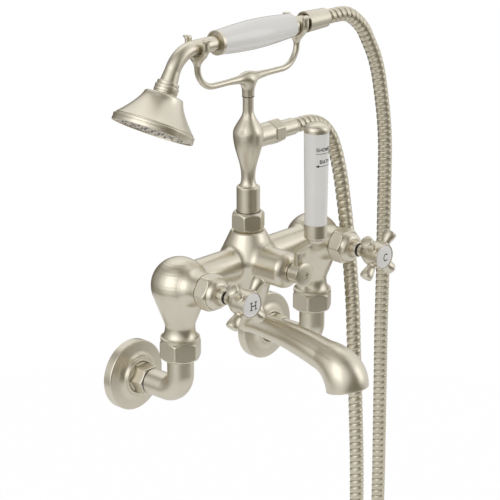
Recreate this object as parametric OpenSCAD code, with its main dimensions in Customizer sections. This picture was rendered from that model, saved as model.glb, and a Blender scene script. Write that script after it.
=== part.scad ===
// Wall-mounted bath shower mixer with cross-head taps, a lever diverter and a hand shower on a cradle.
// Millimetres. X runs along the wall with the hot side at -X, -Y points away from the wall into the room,
// and Z points up. The origin is on the finished wall, midway between the two inlets.

/* [Layout] */
// Distance between the two inlet centres
inlet_pitch = 180; // [160:1:220]
// Distance from the wall to the upright axis of the elbows, tap bodies and riser
body_reach = 67; // [64:1:85]
// Height of the valve, crossbar and diverter axes above the inlets
valve_height = 106; // [102:1:130]

/* [Wall fixings] */
// Radius of the threaded tail that screws into the wall fitting
tail_r = 10.48; // [9:0.01:12]
// Length of the threaded tail behind the wall face
tail_length = 20; // [12:1:35]
// Width across flats of the wall nut
wall_nut_af = 25; // [24:0.5:28]
// Distance from the wall to the front end of the wall nut
wall_nut_front = 29; // [25:0.5:30]
// Outer radius of the wall flange
flange_r = 33.5; // [29:0.5:42]
// Thickness of the flange at its rim
flange_rim = 9; // [6:0.5:11]
// Height of the rounded lip around the flange hole
flange_lip = 15.5; // [13:0.5:17]

/* [Elbows and unions] */
// Outer radius of the elbow tube
elbow_r = 12.25; // [11:0.25:13]
// Radius of the water way through the elbows and tap bodies
water_r = 7; // [5:0.25:8]
// Bend radius of the elbow on its centre line
elbow_bend = 18; // [16:0.5:20]
// Radius of the elbow spigot inside the wall nut
spigot_r = 9.2; // [8.5:0.1:10]
// Length of the elbow spigot inside the wall nut
spigot_length = 9; // [6:0.5:12]
// Gap that shows between the wall nut and the elbow
elbow_gap = 1.5; // [0.5:0.1:2.5]
// Width across flats of the union nuts
union_af = 34; // [33:0.5:38]
// Height of the underside of the union nuts above the inlets
union_base = 33.5; // [31:0.5:35]
// Height of the union nuts
union_height = 18; // [16:0.2:20]
// Thickness of the lip at the foot of the union nut
union_lip = 7; // [5:0.5:8]
// Radius of the collar on the elbow that the union nut pulls on
collar_r = 14.1; // [13.6:0.1:14.6]
// Thickness of that collar
collar_height = 5; // [3:0.5:6]
// Thickness of the sealing washers
washer_thickness = 1.5; // [1:0.1:2]

/* [Tap bodies] */
// Radius of the round bulb of each tap body
bulb_r = 26; // [24:0.5:30]
// How far the bulb centre lies below the valve axis
bulb_drop = 2.5; // [0:0.5:5]
// Radius of the narrow neck under the bulb
neck_r = 13.75; // [12.5:0.25:16]
// Radius of the hollow round where the taper of a tap body meets its neck
neck_round = 14; // [8:0.5:18]
// Height of the neck above the union nut
neck_rise = 12.2; // [9:0.2:14]
// Radius of the foot that sits on the union nut
foot_r = 18.1; // [16:0.1:20]
// Height of the straight edge of the foot
foot_height = 2.6; // [1.6:0.2:4]
// Radius of the male thread under the foot
body_thread_r = 14.4; // [13.9:0.1:14.8]
// Radius of the forward boss that holds the valve
boss_r = 15.7; // [14.5:0.1:17]
// Distance from the upright axis to the end of that boss
boss_reach = 32.5; // [31:0.5:40]
// Outer radius of the crossbar tube
crossbar_r = 15; // [13:0.25:15.5]
// Bore radius of the crossbar tube
crossbar_bore = 11; // [9:0.25:12]
// How far the crossbar ends stay from the upright axes
crossbar_seat = 16; // [15:0.5:18]

/* [Valves] */
// Width across flats of the valve bonnet
bonnet_af = 30; // [29:0.5:33]
// Length of the hexagon on the valve bonnet
bonnet_hex = 13.9; // [10:0.1:16]
// Length of the cone in front of the hexagon
bonnet_cone = 6.1; // [4:0.1:8]
// Radius of the thread that screws into the tap body
bonnet_thread_r = 11; // [10.5:0.1:11.6]
// Radius of the gland collar in front of the bonnet
gland_r = 7.5; // [6.5:0.1:8.5]
// Length of the gland collar
gland_length = 6; // [4:0.2:8]
// Radius of the valve spindle
spindle_r = 4.5; // [4:0.1:5]
// Radius of the ceramic discs
disc_r = 8.4; // [7.5:0.1:8.6]
// Thickness of each ceramic disc
disc_thickness = 3.5; // [2.5:0.1:4]

/* [Cross handles] */
// Gap between the gland collar and the handle
handle_gap = 1.5; // [0.8:0.1:3]
// Radius of the handle stem at its back
stem_r = 5.8; // [5.5:0.1:7]
// Length of the flaring stem
stem_length = 14; // [11:0.5:18]
// Radius of the handle hub
hub_r = 12.2; // [11.5:0.1:14]
// Length of the handle hub
hub_length = 15; // [13.5:0.5:18]
// Largest radius of each handle lobe
lobe_r = 6; // [4.5:0.1:6.4]
// Distance from the handle axis to the tip of a lobe
lobe_reach = 26.5; // [24:0.5:30]
// Radius of the porcelain index
index_r = 11; // [10:0.1:11.3]
// Thickness of the porcelain index at its edge
index_thickness = 3.2; // [2.5:0.1:4]
// Rise of the porcelain index at its centre
index_crown = 0.8; // [0.4:0.1:1.2]

/* [Centre body and spout] */
// Largest radius of the centre body
centre_r = 27; // [25:0.5:29]
// Radius at the top of the centre body
centre_top_r = 16.6; // [15:0.1:17.5]
// Height of the top of the centre body above the valve axis
centre_rise = 28.5; // [26:0.5:33]
// Radius of the rounded foot of the centre body
centre_foot_r = 11; // [10.5:0.25:12.5]
// Height of the spout root above the inlets
spout_height = 45; // [42:0.5:52]
// Distance from the upright axis to the root of the spout
spout_root = 14; // [13:0.5:18]
// Outer radius of the spout at its root
spout_root_r = 10; // [9.5:0.25:11]
// Distance from the wall to the centre of the spout outlet
spout_reach = 190; // [175:1:215]
// Outer radius of the spout at its outlet
outlet_r = 19.6; // [17:0.2:22]
// How far the bend of the spout swells on its outer side
spout_bulge = 1.8; // [0:0.1:3]
// Height of the outlet centre above the inlets
outlet_height = 10; // [5:0.5:16]
// Wall thickness of the spout
spout_wall = 2.2; // [1.8:0.1:3]
// Depth at which the flow straightener sits inside the outlet
straightener_depth = 2.5; // [1.5:0.5:5]

/* [Diverter] */
// Radius of the diverter barrel
barrel_r = 17; // [16.5:0.1:18.5]
// Distance from the upright axis to the front of the barrel
barrel_reach = 46.7; // [43:0.1:52]
// Length of the domed front of the diverter bonnet
dome_length = 7; // [5:0.5:10]
// Radius of the nose in front of the dome
nose_r = 9.2; // [8.2:0.1:10.5]
// Length of the nose
nose_length = 2; // [1:0.25:4]
// Radius of the thread that screws into the barrel
diverter_thread_r = 13; // [12:0.1:13.5]
// Radius of the diverter spindle
diverter_spindle_r = 5; // [4.5:0.1:5.6]
// Length of the lever boss behind its disc
lever_boss = 11.5; // [10:0.5:14]
// Radius of the lever disc
lever_disc_r = 11.6; // [10.5:0.1:13.5]
// Thickness of the lever disc at its edge
lever_disc = 2; // [1.5:0.1:3]
// Rise of the lever disc at its centre
lever_crown = 1.6; // [0.8:0.1:2.2]
// Width of the lever arm
arm_width = 8.2; // [6.5:0.1:10]
// Thickness of the lever arm
arm_thickness = 5.5; // [4.5:0.25:6.5]
// Height of the straight part of the arm above the diverter axis
arm_rise = 24; // [22:0.5:30]
// Forward step from the arm to the grip
arm_step = 20.4; // [18:0.1:24]
// Height of the underside of the ferrule above the diverter axis
ferrule_rise = 39.2; // [37:0.2:46]
// Radius of the lever ferrule
ferrule_r = 10.5; // [9.5:0.1:12]
// Height of the lever ferrule
ferrule_height = 13.2; // [10:0.2:17]
// Radius of the porcelain grip at its foot
grip_foot_r = 10; // [9:0.1:11.5]
// Radius of the porcelain grip at its top
grip_top_r = 11.3; // [10:0.1:13]
// Length of the porcelain grip
grip_length = 85; // [60:1:110]
// Height of the domed cap on the grip
cap_height = 9; // [6:0.5:14]
// Radius of the rod through the grip
rod_r = 3; // [2.5:0.1:4]

/* [Riser column] */
// Width across flats of the column nut
column_nut_af = 27.6; // [27.2:0.2:30]
// Height of the column nut
column_nut_height = 18; // [17:0.5:22]
// Radius of the straight foot of the column
column_r = 10.8; // [10:0.1:11.2]
// Height of the straight foot above the column nut
column_foot = 24; // [18:0.5:32]
// Radius of the waist above the foot
waist_r = 6.4; // [6:0.1:8]
// Height of the waist above the straight foot
waist_rise = 8.5; // [6:0.5:11]
// Largest radius of the vase
vase_r = 14; // [13:0.25:16.5]
// Height from the waist to the widest part of the vase
vase_rise = 41; // [36:0.5:50]
// Height from the widest part of the vase to its neck
shoulder_rise = 22; // [18:0.5:28]
// Radius of the neck under the cradle
cradle_neck_r = 5; // [4.6:0.1:6]
// Height of that neck
cradle_neck = 13; // [9:0.5:18]

/* [Hose outlet] */
// Height of the hose outlet below the widest part of the vase
port_drop = 5; // [2:0.5:8]
// Radius of the outlet boss
port_r = 10.5; // [10:0.1:11.5]
// Distance from the column axis to the end of the boss
port_reach = 26.5; // [23:0.5:32]
// Radius of the outlet thread
port_thread_r = 9; // [8.5:0.1:9.4]
// Width across flats of the hose nut
hose_nut_af = 20.6; // [20.2:0.2:23]
// Length of the hose nut
hose_nut_length = 15; // [14:0.5:18]
// Outer radius of the hose ferrule at the column
hose_ferrule_r = 8; // [7.6:0.1:9]
// Length of the hose ferrule at the column
hose_ferrule_length = 20; // [14:0.5:26]

/* [Cradle] */
// Radius of the cradle bar
cradle_bar_r = 2.8; // [2.3:0.1:3.2]
// Height of the cradle bar above the column neck
cradle_rise = 17.5; // [15.5:0.5:22]
// Distance from the rear ring of the porcelain handle to the crook
crook_space = 7; // [5:0.5:8]
// Bend radius of the bar below the crooks
crook_bend = 20; // [16:0.5:22]
// Height of the hand shower axis above the cradle bar
handset_rise = 38.5; // [38:0.5:46]
// Radius of the bar around the crooks
crook_bar_r = 2.7; // [2.2:0.1:2.8]
// Inner radius of the crooks
crook_inner_r = 8.2; // [7.8:0.1:9.5]
// Height of the crook tips above the hand shower axis
crook_tip = 9; // [6:0.5:12]
// Length of the lips that turn out at the crook tips
crook_lip = 5; // [3:0.5:8]
// Clearance between the hand shower and the crooks
crook_clearance = 0.3; // [0.2:0.05:0.6]

/* [Hand shower] */
// Outer radius of the hand shower tube
shower_tube_r = 7; // [6.6:0.1:7.4]
// Bore radius of the hand shower tube
shower_tube_bore = 5; // [4:0.1:5.6]
// Distance from the crook to the start of the bend in the tube
bend_space = 5; // [2.8:0.1:8]
// Bend radius of the tube on its centre line
shower_bend = 29; // [24:0.5:40]
// Tilt of the rose axis from the upright
rose_tilt = 27.5; // [15:0.5:40]
// Straight length of the tube between the bend and the collar nut
shower_tail = 10.5; // [8:0.5:18]
// Radius of the collar nut above the rose
rose_nut_r = 10.8; // [10:0.1:12]
// Height of the collar nut
rose_nut_height = 9; // [7:0.5:12]
// Radius of the shoulder at the top of the rose
rose_shoulder_r = 17.8; // [15:0.2:19]
// Height of the rose from its shoulder to its rim
rose_height = 34; // [27:0.5:38]
// Radius of the rose at its rim
rose_r = 37; // [34:0.2:45]
// Height of the bead around the rim
rose_bead = 6; // [3:0.25:8]
// Wall thickness of the rose
rose_wall = 1.6; // [1.2:0.1:2.2]
// Thickness of the nozzle plate
nozzle_plate = 2; // [1.5:0.1:3]
// Distance from the column axis to the front end of the porcelain handle
handle_front = 39; // [34:0.5:44]
// Length of the porcelain handle
handle_length = 94; // [80:1:105]
// Radius of the porcelain handle at its ends
handle_end_r = 11; // [10:0.1:12]
// Radius of the porcelain handle at its middle
handle_mid_r = 13.5; // [12:0.1:15]
// Length of the metal rings at the ends of the porcelain handle
handle_ring = 3; // [2:0.25:4]
// Distance from the crook to the open end of the rear ferrule
ferrule_space = 10; // [9:0.5:14]
// Length of the rear ferrule
rear_ferrule_length = 31; // [24:0.5:40]
// Radius of the rear ferrule at its open end
rear_ferrule_r = 10; // [9.2:0.1:11]
// Radius of the rear ferrule where the hose leaves it
rear_ferrule_tip_r = 8.2; // [7.6:0.1:9]

/* [Hose] */
// Outer radius of the hose over its ribs
hose_r = 7; // [6.5:0.1:7.4]
// Depth of the grooves between the ribs
hose_groove = 0.8; // [0.4:0.1:1.2]
// Bore radius of the hose
hose_bore = 4.5; // [3.5:0.1:5]
// Number of ribs along the hose
hose_ribs = 200; // [40:1:200]

/* [Fits] */
// Radial clearance of turning and sliding fits
running_fit = 0.05; // [0.02:0.01:0.1]
// Radial clearance of loose covers
cover_fit = 0.4; // [0.2:0.05:0.6]
// Height of the chamfer on the hexagons
hex_chamfer = 2; // [0.8:0.1:2.6]

/* [Hidden] */
$fn = 64;
hot = -1;
cold = 1;
nickel = [0.75, 0.72, 0.65];
porcelain = [0.93, 0.93, 0.92];
ceramic = [0.85, 0.83, 0.78];
rubber = [0.12, 0.12, 0.12];

// Upright stack from the inlets to the tap bodies
collar_base = union_base + union_lip + running_fit;
collar_top = collar_base + collar_height;
body_base = collar_top + washer_thickness;
union_top = union_base + union_height;
foot_base = union_top + running_fit;
foot_top = foot_base + foot_height;
neck_z = union_top + neck_rise;
bulb_z = valve_height - bulb_drop;

// Valve stack, as distances from the wall
boss_end = body_reach + boss_reach;
bonnet_hex_end = boss_end + bonnet_hex;
bonnet_end = bonnet_hex_end + bonnet_cone;
gland_end = bonnet_end + gland_length;
handle_back = gland_end + handle_gap;
hub_back = handle_back + stem_length;
handle_face = hub_back + hub_length;
chamber_floor = body_reach + water_r + 1.5;
fixed_disc_end = chamber_floor + disc_thickness;
moving_disc_back = fixed_disc_end + running_fit;
moving_disc_end = moving_disc_back + disc_thickness;
spindle_dog = 2.5;
dog_end = moving_disc_end + spindle_dog;
index_seat = handle_face - index_thickness;
screw_head = 3;
screw_head_r = 3.6;
screw_r = 2;
screw_reach = 9;
hub_web = 2;
web_back = index_seat - screw_head - hub_web - 1;
spindle_end = web_back - running_fit;
seal_r = 0.5;
seal_seat = (boss_end + bonnet_hex_end) / 2;

// Centre body and diverter stack
centre_top = valve_height + centre_rise;
column_thread_r = column_r + 1.6;
spout_seat = body_reach + spout_root;
barrel_end = body_reach + barrel_reach;
dome_end = barrel_end + dome_length;
diverter_front = dome_end + nose_length;
diverter_thread = 17;
diverter_chamber = body_reach + 15;
cam_length = 8;
cam_back = diverter_chamber + 1.5;
lever_back = diverter_front + 0.5;
lever_disc_back = lever_back + lever_boss;
lever_rim = lever_disc_back + lever_disc;
lever_face = lever_rim + lever_crown;
lever_screw_seat = lever_face - 4;
diverter_spindle_end = lever_screw_seat - hub_web;
arm_back = lever_disc_back - 2.7 - arm_thickness;
arm_mid = arm_back + arm_thickness / 2;
grip_front = arm_mid + arm_step;
ferrule_z = valve_height + ferrule_rise;
grip_z = ferrule_z + ferrule_height;
cap_z = grip_z + grip_length;
rod_top = cap_z + cap_height / 2;

// Riser column stack
column_nut_base = centre_top + running_fit;
column_nut_top = column_nut_base + column_nut_height;
column_nut_lip = 3;
column_thread = column_nut_height - column_nut_lip - washer_thickness - 3.5;
column_base = centre_top + column_thread + washer_thickness;
column_collar_top = column_nut_top - column_nut_lip - running_fit;
foot_end = column_nut_top + column_foot;
waist_z = foot_end + waist_rise;
vase_z = waist_z + vase_rise;
shoulder_z = vase_z + shoulder_rise;
column_top = shoulder_z + cradle_neck;
column_bore = 4;
port_z = vase_z - port_drop;
cradle_spigot_r = cradle_neck_r - 1.6;
cradle_spigot = 8;

// Hose outlet stack, as distances from the column axis
port_thread = 8.5;
port_end = port_reach + port_thread;
hose_collar_start = port_end + washer_thickness;
hose_nut_start = port_reach + running_fit;
hose_nut_end = hose_nut_start + hose_nut_length;
hose_nut_lip = 3;
hose_collar_end = hose_nut_end - hose_nut_lip - running_fit;
hose_stem_r = hose_ferrule_r - 1.5;
hose_ferrule_start = hose_nut_end + running_fit;
hose_start = hose_ferrule_start + hose_ferrule_length;

// Cradle and hand shower stack
cradle_z = column_top + cradle_rise;
handset_z = cradle_z + handset_rise;
crook_r = crook_inner_r + crook_bar_r;
crook_z = handset_rise - shower_tube_r - crook_clearance + crook_inner_r;
lip_thickness = 1.4;
saddle_r = cradle_bar_r * 1.7;
saddle_length = 26;
rose_bend = 90 - rose_tilt;
handle_rear = handle_length - handle_front;
rear_ring_end = handle_rear + handle_ring;
crook_reach = rear_ring_end + crook_space;
shower_bend_start = crook_reach + bend_space;
rear_ferrule_start = crook_reach + ferrule_space;
rear_ferrule_end = rear_ferrule_start + rear_ferrule_length;
rear_cup = 5;
tube_rear = rear_ferrule_start + 14;
rose_shoulder = rose_nut_height + 2.6;
rose_rim = rose_shoulder + rose_height;
nozzle_r = rose_r - rose_wall - running_fit;
plate_seat = rose_rim - 1;
nozzle_rows = [[0, 1], [9, 8], [18, 14], [27, 20]];
nozzle_pip_r = 1.1;

// Route of the hose from the column outlet to the hand shower, in the part's own frame
HOSE_ROUTE = [
    [hose_start, -body_reach, port_z],
    [hose_start + 14, -body_reach, port_z],
    [98, -66, 216], [113, -66, 203], [121, -67, 186], [125, -70, 164],
    [127, -73, 140], [127, -78, 110], [126, -84, 72], [124, -90, 30],
    [122, -94, -10], [121, -98, -66], [121, -101, -130], [121, -102, -200],
    [121, -102, -265], [121, -102, -330], [129, -97, -364], [150, -85, -389],
    [180, -68, -398], [209, -50, -389], [230, -38, -364], [238, -33, -330],
    [237, -34, -255], [235, -36, -194], [231, -39, -138], [227, -42, -81],
    [223, -45, -26], [220, -48, 28], [215, -52, 81], [210, -56, 134],
    [206, -59, 170], [201, -61, 198], [194, -63, 224], [186, -65, 249],
    [178, -66, 268], [169, -66, 284], [159, -67, 298], [148, -67, 308],
    [136, -67, 315],
    [rear_ferrule_end + 14, -body_reach, handset_z],
    [rear_ferrule_end, -body_reach, handset_z]
];

// Points on a circular arc in the plane of a profile
function arc(c, r, a0, a1, n = 8) =
    [for (i = [0:n]) c + r * [cos(a0 + (a1 - a0) * i / n), sin(a0 + (a1 - a0) * i / n)]];

// Points on a smooth S-shaped step between two profile points with upright ends
function ogee(p, q, n = 10) =
    [for (i = [0:n]) let (t = i / n, s = (1 - cos(180 * t)) / 2)
        [p[0] + (q[0] - p[0]) * s, p[1] + (q[1] - p[1]) * t]];

// Points on a quarter of an ellipse from p, where it runs upright, to q, where it runs level
function quarter(p, q, n = 10) =
    [for (i = [0:n]) let (a = 90 * i / n) [q[0] + (p[0] - q[0]) * cos(a), p[1] + (q[1] - p[1]) * sin(a)]];

// Points on a hollow quarter of an ellipse from p, where it runs level, to q, where it runs upright
function cove(p, q, n = 8) =
    [for (i = [0:n]) let (a = 90 * i / n)
        [p[0] + (q[0] - p[0]) * sin(a), p[1] + (q[1] - p[1]) * (1 - cos(a))]];

// Triangles between neighbouring rings of a swept tube
function side_faces(first, count, sides, flip) =
    [for (i = [0:count - 2], k = [0:sides - 1], half = [0, 1])
        let (a = first + i * sides + k, b = first + i * sides + (k + 1) % sides,
             f = half == 0 ? [a, b, a + sides] : [b, b + sides, a + sides])
        flip ? [f[0], f[2], f[1]] : f];

// Triangles that close the end of a swept tube between its outer and inner rings
function end_faces(outer, inner, sides, flip) =
    [for (k = [0:sides - 1], half = [0, 1])
        let (m = (k + 1) % sides,
             f = half == 0 ? [outer + k, outer + m, inner + k] : [outer + m, inner + m, inner + k])
        flip ? [f[0], f[2], f[1]] : f];

module lathe(points) rotate_extrude() polygon(points);

// Turns +Z to point away from the wall
module to_front() rotate([90, 0, 0]) children();

// Turns +Z to point along +X
module to_right() rotate([0, 90, 0]) children();

module at_inlet(side) translate([side * inlet_pitch / 2, 0, 0]) children();

module at_upright(side) translate([side * inlet_pitch / 2, -body_reach, 0]) children();

module at_valve(side) translate([side * inlet_pitch / 2, 0, valve_height]) to_front() children();

module at_diverter() translate([0, 0, valve_height]) to_front() children();

module on_column() translate([0, -body_reach, 0]) children();

// A tube between two heights
module tube(z0, z1, r, bore) {
    difference() {
        translate([0, 0, z0]) cylinder(h = z1 - z0, r = r);
        translate([0, 0, z0 - 1]) cylinder(h = z1 - z0 + 2, r = bore);
    }
}

// A rod between two heights
module rod(z0, z1, r) translate([0, 0, z0]) cylinder(h = z1 - z0, r = r);

// A hexagon between two heights with its corners chamfered at both ends
module hexagon(z0, z1, af, turn = 0) {
    corner = af / (2 * cos(30));
    flat = af / 2;
    intersection() {
        translate([0, 0, z0]) rotate(turn) cylinder(h = z1 - z0, r = corner, $fn = 6);
        lathe([
            [0, z0], [flat, z0], [corner, z0 + hex_chamfer],
            [corner, z1 - hex_chamfer], [flat, z1], [0, z1]
        ]);
    }
}

module wall_flange(side) {
    hole = wall_nut_af / (2 * cos(30)) + cover_fit;
    bead = 1.4;
    edge = 1.5;
    face = flange_rim + 0.6;
    lip_r = hole + 2 * bead;
    color(nickel) at_inlet(side) to_front() lathe(concat(
        [[hole, 0], [flange_r, 0]],
        arc([flange_r - edge, flange_rim - edge], edge, 0, 90),
        cove([lip_r + 8, face], [lip_r, flange_lip - bead], 10),
        arc([hole + bead, flange_lip - bead], bead, 0, 180)
    ));
}

module wall_nut(side) {
    color(nickel) at_inlet(side) to_front() difference() {
        union() {
            rod(-tail_length, flange_rim, tail_r);
            hexagon(3, wall_nut_front, wall_nut_af);
        }
        rod(-tail_length - 1, wall_nut_front + 1, water_r);
        rod(wall_nut_front - spigot_length - running_fit, wall_nut_front + 1, spigot_r + running_fit);
    }
}

module elbow_run(r, extra) {
    to_front() rod(wall_nut_front + elbow_gap - extra, body_reach - elbow_bend, r);
    translate([0, elbow_bend - body_reach, elbow_bend]) rotate([0, 90, 0]) rotate([180, 0, 0])
        rotate_extrude(angle = 90) translate([elbow_bend, 0]) circle(r);
    translate([0, -body_reach, 0]) rod(elbow_bend, collar_top + extra, r);
}

module elbow(side) {
    color(nickel) at_inlet(side) difference() {
        union() {
            elbow_run(elbow_r, 0);
            to_front() rod(wall_nut_front - spigot_length, wall_nut_front + elbow_gap + 1, spigot_r);
            translate([0, -body_reach, 0]) rod(collar_base, collar_top, collar_r);
        }
        elbow_run(water_r, 1);
        to_front() rod(wall_nut_front - spigot_length - 1, wall_nut_front + elbow_gap + 1, water_r);
    }
}

module union_nut(side) {
    color(nickel) at_upright(side) difference() {
        hexagon(union_base, union_top, union_af, 30);
        rod(union_base - 1, union_top + 1, elbow_r + running_fit);
        rod(union_base + union_lip, union_top + 1, max(collar_r, body_thread_r) + running_fit);
    }
}

module union_washer(side) {
    color(rubber) at_upright(side) tube(collar_top, body_base, collar_r - 1, water_r);
}

module tap_body(side) {
    bulb = [0, bulb_z];
    throat = [neck_r + neck_round, neck_z];
    lean = atan2(bulb_z - neck_z, throat[0]) - acos(min(1, (bulb_r + neck_round) / norm(throat - bulb)));
    inward = -side;
    color(nickel) difference() {
        union() {
            at_upright(side) lathe(concat(
                [[0, body_base], [body_thread_r, body_base]],
                [[body_thread_r, foot_base], [foot_r, foot_base]],
                cove([foot_r, foot_top], [neck_r, neck_z]),
                arc(throat, neck_round, 180, 180 - lean, 6),
                arc(bulb, bulb_r, -lean, 90, 16)
            ));
            at_valve(side) rod(body_reach, boss_end, boss_r);
        }
        at_upright(side) rod(body_base - 1, valve_height, water_r);
        at_valve(side) {
            rod(body_reach, chamber_floor + 1, water_r - 2);
            rod(chamber_floor, boss_end + 1, bonnet_thread_r + running_fit);
            translate([inward * (crossbar_seat - 2.5), 0, 0])
                rod(body_reach, chamber_floor + 2 * disc_thickness, 4);
        }
        translate([side * inlet_pitch / 2 + inward * crossbar_seat, -body_reach, valve_height])
            rotate([0, inward * 90, 0]) cylinder(h = 2 * bulb_r, r = crossbar_r + running_fit);
    }
}

module crossbar(side) {
    outer = inlet_pitch / 2 - crossbar_seat;
    color(nickel) translate([0, -body_reach, valve_height]) rotate([0, side * 90, 0])
        tube(crossbar_seat, outer, crossbar_r, crossbar_bore);
}

module bonnet(side) {
    cage_r = disc_r + 0.2;
    back = chamber_floor + running_fit;
    color(nickel) at_valve(side) difference() {
        union() {
            rod(back, boss_end, bonnet_thread_r);
            hexagon(boss_end, bonnet_hex_end, bonnet_af);
            lathe([
                [0, bonnet_hex_end - hex_chamfer], [bonnet_af / 2 - 0.6, bonnet_hex_end - hex_chamfer],
                [bonnet_af / 2 - 0.6, bonnet_hex_end], [gland_r + 1, bonnet_end], [0, bonnet_end]
            ]);
        }
        rod(back - 1, bonnet_end + 1, spindle_r + running_fit);
        rod(back - 1, dog_end + running_fit, cage_r);
        translate([-2 * bonnet_thread_r, 0, fixed_disc_end - 1]) to_right()
            cylinder(h = 4 * bonnet_thread_r, r = 2.5);
    }
}

module gland_collar(side) {
    color(nickel) at_valve(side) difference() {
        lathe(concat(
            [[0, bonnet_end], [gland_r, bonnet_end]],
            arc([gland_r - 1, gland_end - 1], 1, 0, 90, 4),
            [[0, gland_end]]
        ));
        rod(bonnet_end - 1, gland_end + 1, spindle_r + running_fit);
    }
}

// Water ports through a ceramic disc, a pair of round holes on either side of its centre
module disc_ports(z0, z1) {
    for (turn = [0, 180]) rotate(turn) translate([disc_r / 2, 0, 0]) rod(z0, z1, disc_r / 4);
}

module fixed_disc(side) {
    color(ceramic) at_valve(side) difference() {
        rod(chamber_floor, fixed_disc_end, disc_r);
        disc_ports(chamber_floor - 1, fixed_disc_end + 1);
    }
}

module moving_disc(side) {
    color(ceramic) at_valve(side) difference() {
        rod(moving_disc_back, moving_disc_end, disc_r);
        rotate(90) disc_ports(moving_disc_back - 1, moving_disc_end + 1);
    }
}

module spindle(side) {
    color(nickel) at_valve(side) difference() {
        union() {
            rod(moving_disc_end, dog_end, disc_r - 1.5);
            rod(moving_disc_end, spindle_end, spindle_r);
        }
        tube(seal_seat - 1.1 * seal_r, seal_seat + 1.1 * seal_r, spindle_r + 1,
             spindle_r - 2 * seal_r - running_fit);
        rod(spindle_end - screw_reach - 1, spindle_end + 1, screw_r + running_fit);
    }
}

module spindle_seal(side) {
    color(rubber) at_valve(side) translate([0, 0, seal_seat])
        rotate_extrude() translate([spindle_r - seal_r, 0]) circle(seal_r);
}

// One egg-shaped lobe along +X, narrow at the hub and rounded at its tip
module lobe() {
    waist = lobe_r * 0.66;
    edge = 1.5;
    crown = 0.8;
    widest = lobe_reach - crown - edge;
    to_right() lathe(concat(
        [[0, 0], [waist, 0], [waist, hub_r]],
        ogee([waist, hub_r + 0.1], [lobe_r, widest - 1], 8),
        arc([lobe_r - edge, widest], edge, 0, 75, 6),
        [[0, lobe_reach]]
    ));
}

module cross_handle(side) {
    rim = 1;
    color(nickel) at_valve(side) difference() {
        union() {
            lathe(concat(
                [[0, handle_back], [stem_r, handle_back], [stem_r, handle_back + 2]],
                ogee([stem_r, handle_back + 2.1], [hub_r - rim, hub_back], 8),
                arc([hub_r - rim, hub_back + rim], rim, 270, 360, 4),
                [[hub_r, handle_face], [0, handle_face]]
            ));
            for (turn = [45:90:315])
                translate([0, 0, (hub_back + handle_face) / 2]) rotate(turn) lobe();
        }
        rod(handle_back - 1, web_back, spindle_r + running_fit);
        rod(web_back - 1, handle_face, screw_r + running_fit);
        rod(web_back + hub_web, handle_face, screw_head_r + 1);
        rod(index_seat, handle_face + 1, index_r + running_fit);
    }
}

module handle_screw(side) {
    seat = web_back + hub_web;
    color(nickel) at_valve(side) difference() {
        union() {
            rod(spindle_end - screw_reach, seat + 1, screw_r);
            rod(seat, seat + screw_head, screw_head_r);
        }
        translate([0, 0, seat + screw_head - 1]) cube([2 * screw_head_r, 1, 2.1], center = true);
    }
}

module index(side) {
    color(porcelain) at_valve(side) lathe(concat(
        [[0, index_seat], [index_r, index_seat]],
        quarter([index_r, handle_face - 0.3], [0, handle_face + index_crown], 8)
    ));
}

module centre_body() {
    foot = [0, spout_height];
    waist = [centre_r, valve_height + 4];
    foot_angle = atan2(waist[1] - foot[1], waist[0] - foot[0]) - acos(centre_foot_r / norm(waist - foot));
    shoulder = 14;
    under = 15;
    over = 25;
    color(nickel) difference() {
        union() {
            on_column() lathe(concat(
                arc(foot, centre_foot_r, 270, 360 + foot_angle, 10),
                arc([centre_r - shoulder, valve_height + 2], shoulder, -under, over, 8),
                [[centre_top_r, centre_top - 1], [centre_top_r - 1, centre_top]],
                [[column_thread_r, centre_top], [column_thread_r, centre_top + column_thread]],
                [[0, centre_top + column_thread]]
            ));
            at_diverter() rod(body_reach, barrel_end, barrel_r);
            translate([0, 0, spout_height]) to_front() rod(body_reach, spout_seat, spout_root_r + 0.4);
        }
        on_column() rod(valve_height, centre_top + column_thread + 1, column_bore + 2);
        on_column() rod(spout_height, valve_height, column_bore + 1);
        at_diverter() rod(body_reach, barrel_end, column_bore + 2);
        at_diverter() rod(diverter_chamber, barrel_end + 1, diverter_thread_r + running_fit);
        translate([0, 0, spout_height]) to_front()
            rod(body_reach, spout_seat + 1, spout_root_r - spout_wall);
        translate([0, -body_reach, valve_height]) to_right() {
            translate([0, 0, -crossbar_seat - 1]) cylinder(h = 2 * crossbar_seat + 2, r = column_bore + 1);
            for (turn = [0, 180]) rotate([turn, 0, 0]) translate([0, 0, crossbar_seat])
                cylinder(h = centre_r, r = crossbar_r + running_fit);
        }
    }
}

// Centre line of the spout in its upright plane, as [distance from the wall, height, heading below level]
spout_turn = 77;
spout_fall = 7;
spout_bend = 33;
spout_bend_z = outlet_height - spout_bend * cos(spout_turn);
spout_bend_x = spout_reach - spout_bend * sin(spout_turn);
spout_rings = 14;

// Swell of the bend at a heading, nothing at its two ends
function spout_swell(a) =
    spout_bulge * sin(180 * pow(max(0, (a - spout_fall) / (spout_turn - spout_fall)), 1.4));

function spout_bend_point(a) =
    let (r = spout_bend + spout_swell(a))
    [spout_bend_x + r * sin(a), spout_bend_z + r * cos(a), a];

function spout_line(i) =
    let (start = spout_bend_point(spout_fall), t = i / spout_rings)
    i <= 0 ? [spout_seat, spout_height, 0] :
    i <= spout_rings / 2 ?
        let (s = 2 * t, x = spout_seat + (start[0] - spout_seat) * s)
        [x, spout_height + (start[1] - spout_height) * s * s, spout_fall * s] :
    spout_bend_point(spout_fall + (spout_turn - spout_fall) * (2 * t - 1));

function spout_radius(i) =
    spout_root_r + (outlet_r - spout_root_r) * pow(i / spout_rings, 0.95) + spout_swell(spout_line(i)[2]);

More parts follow.
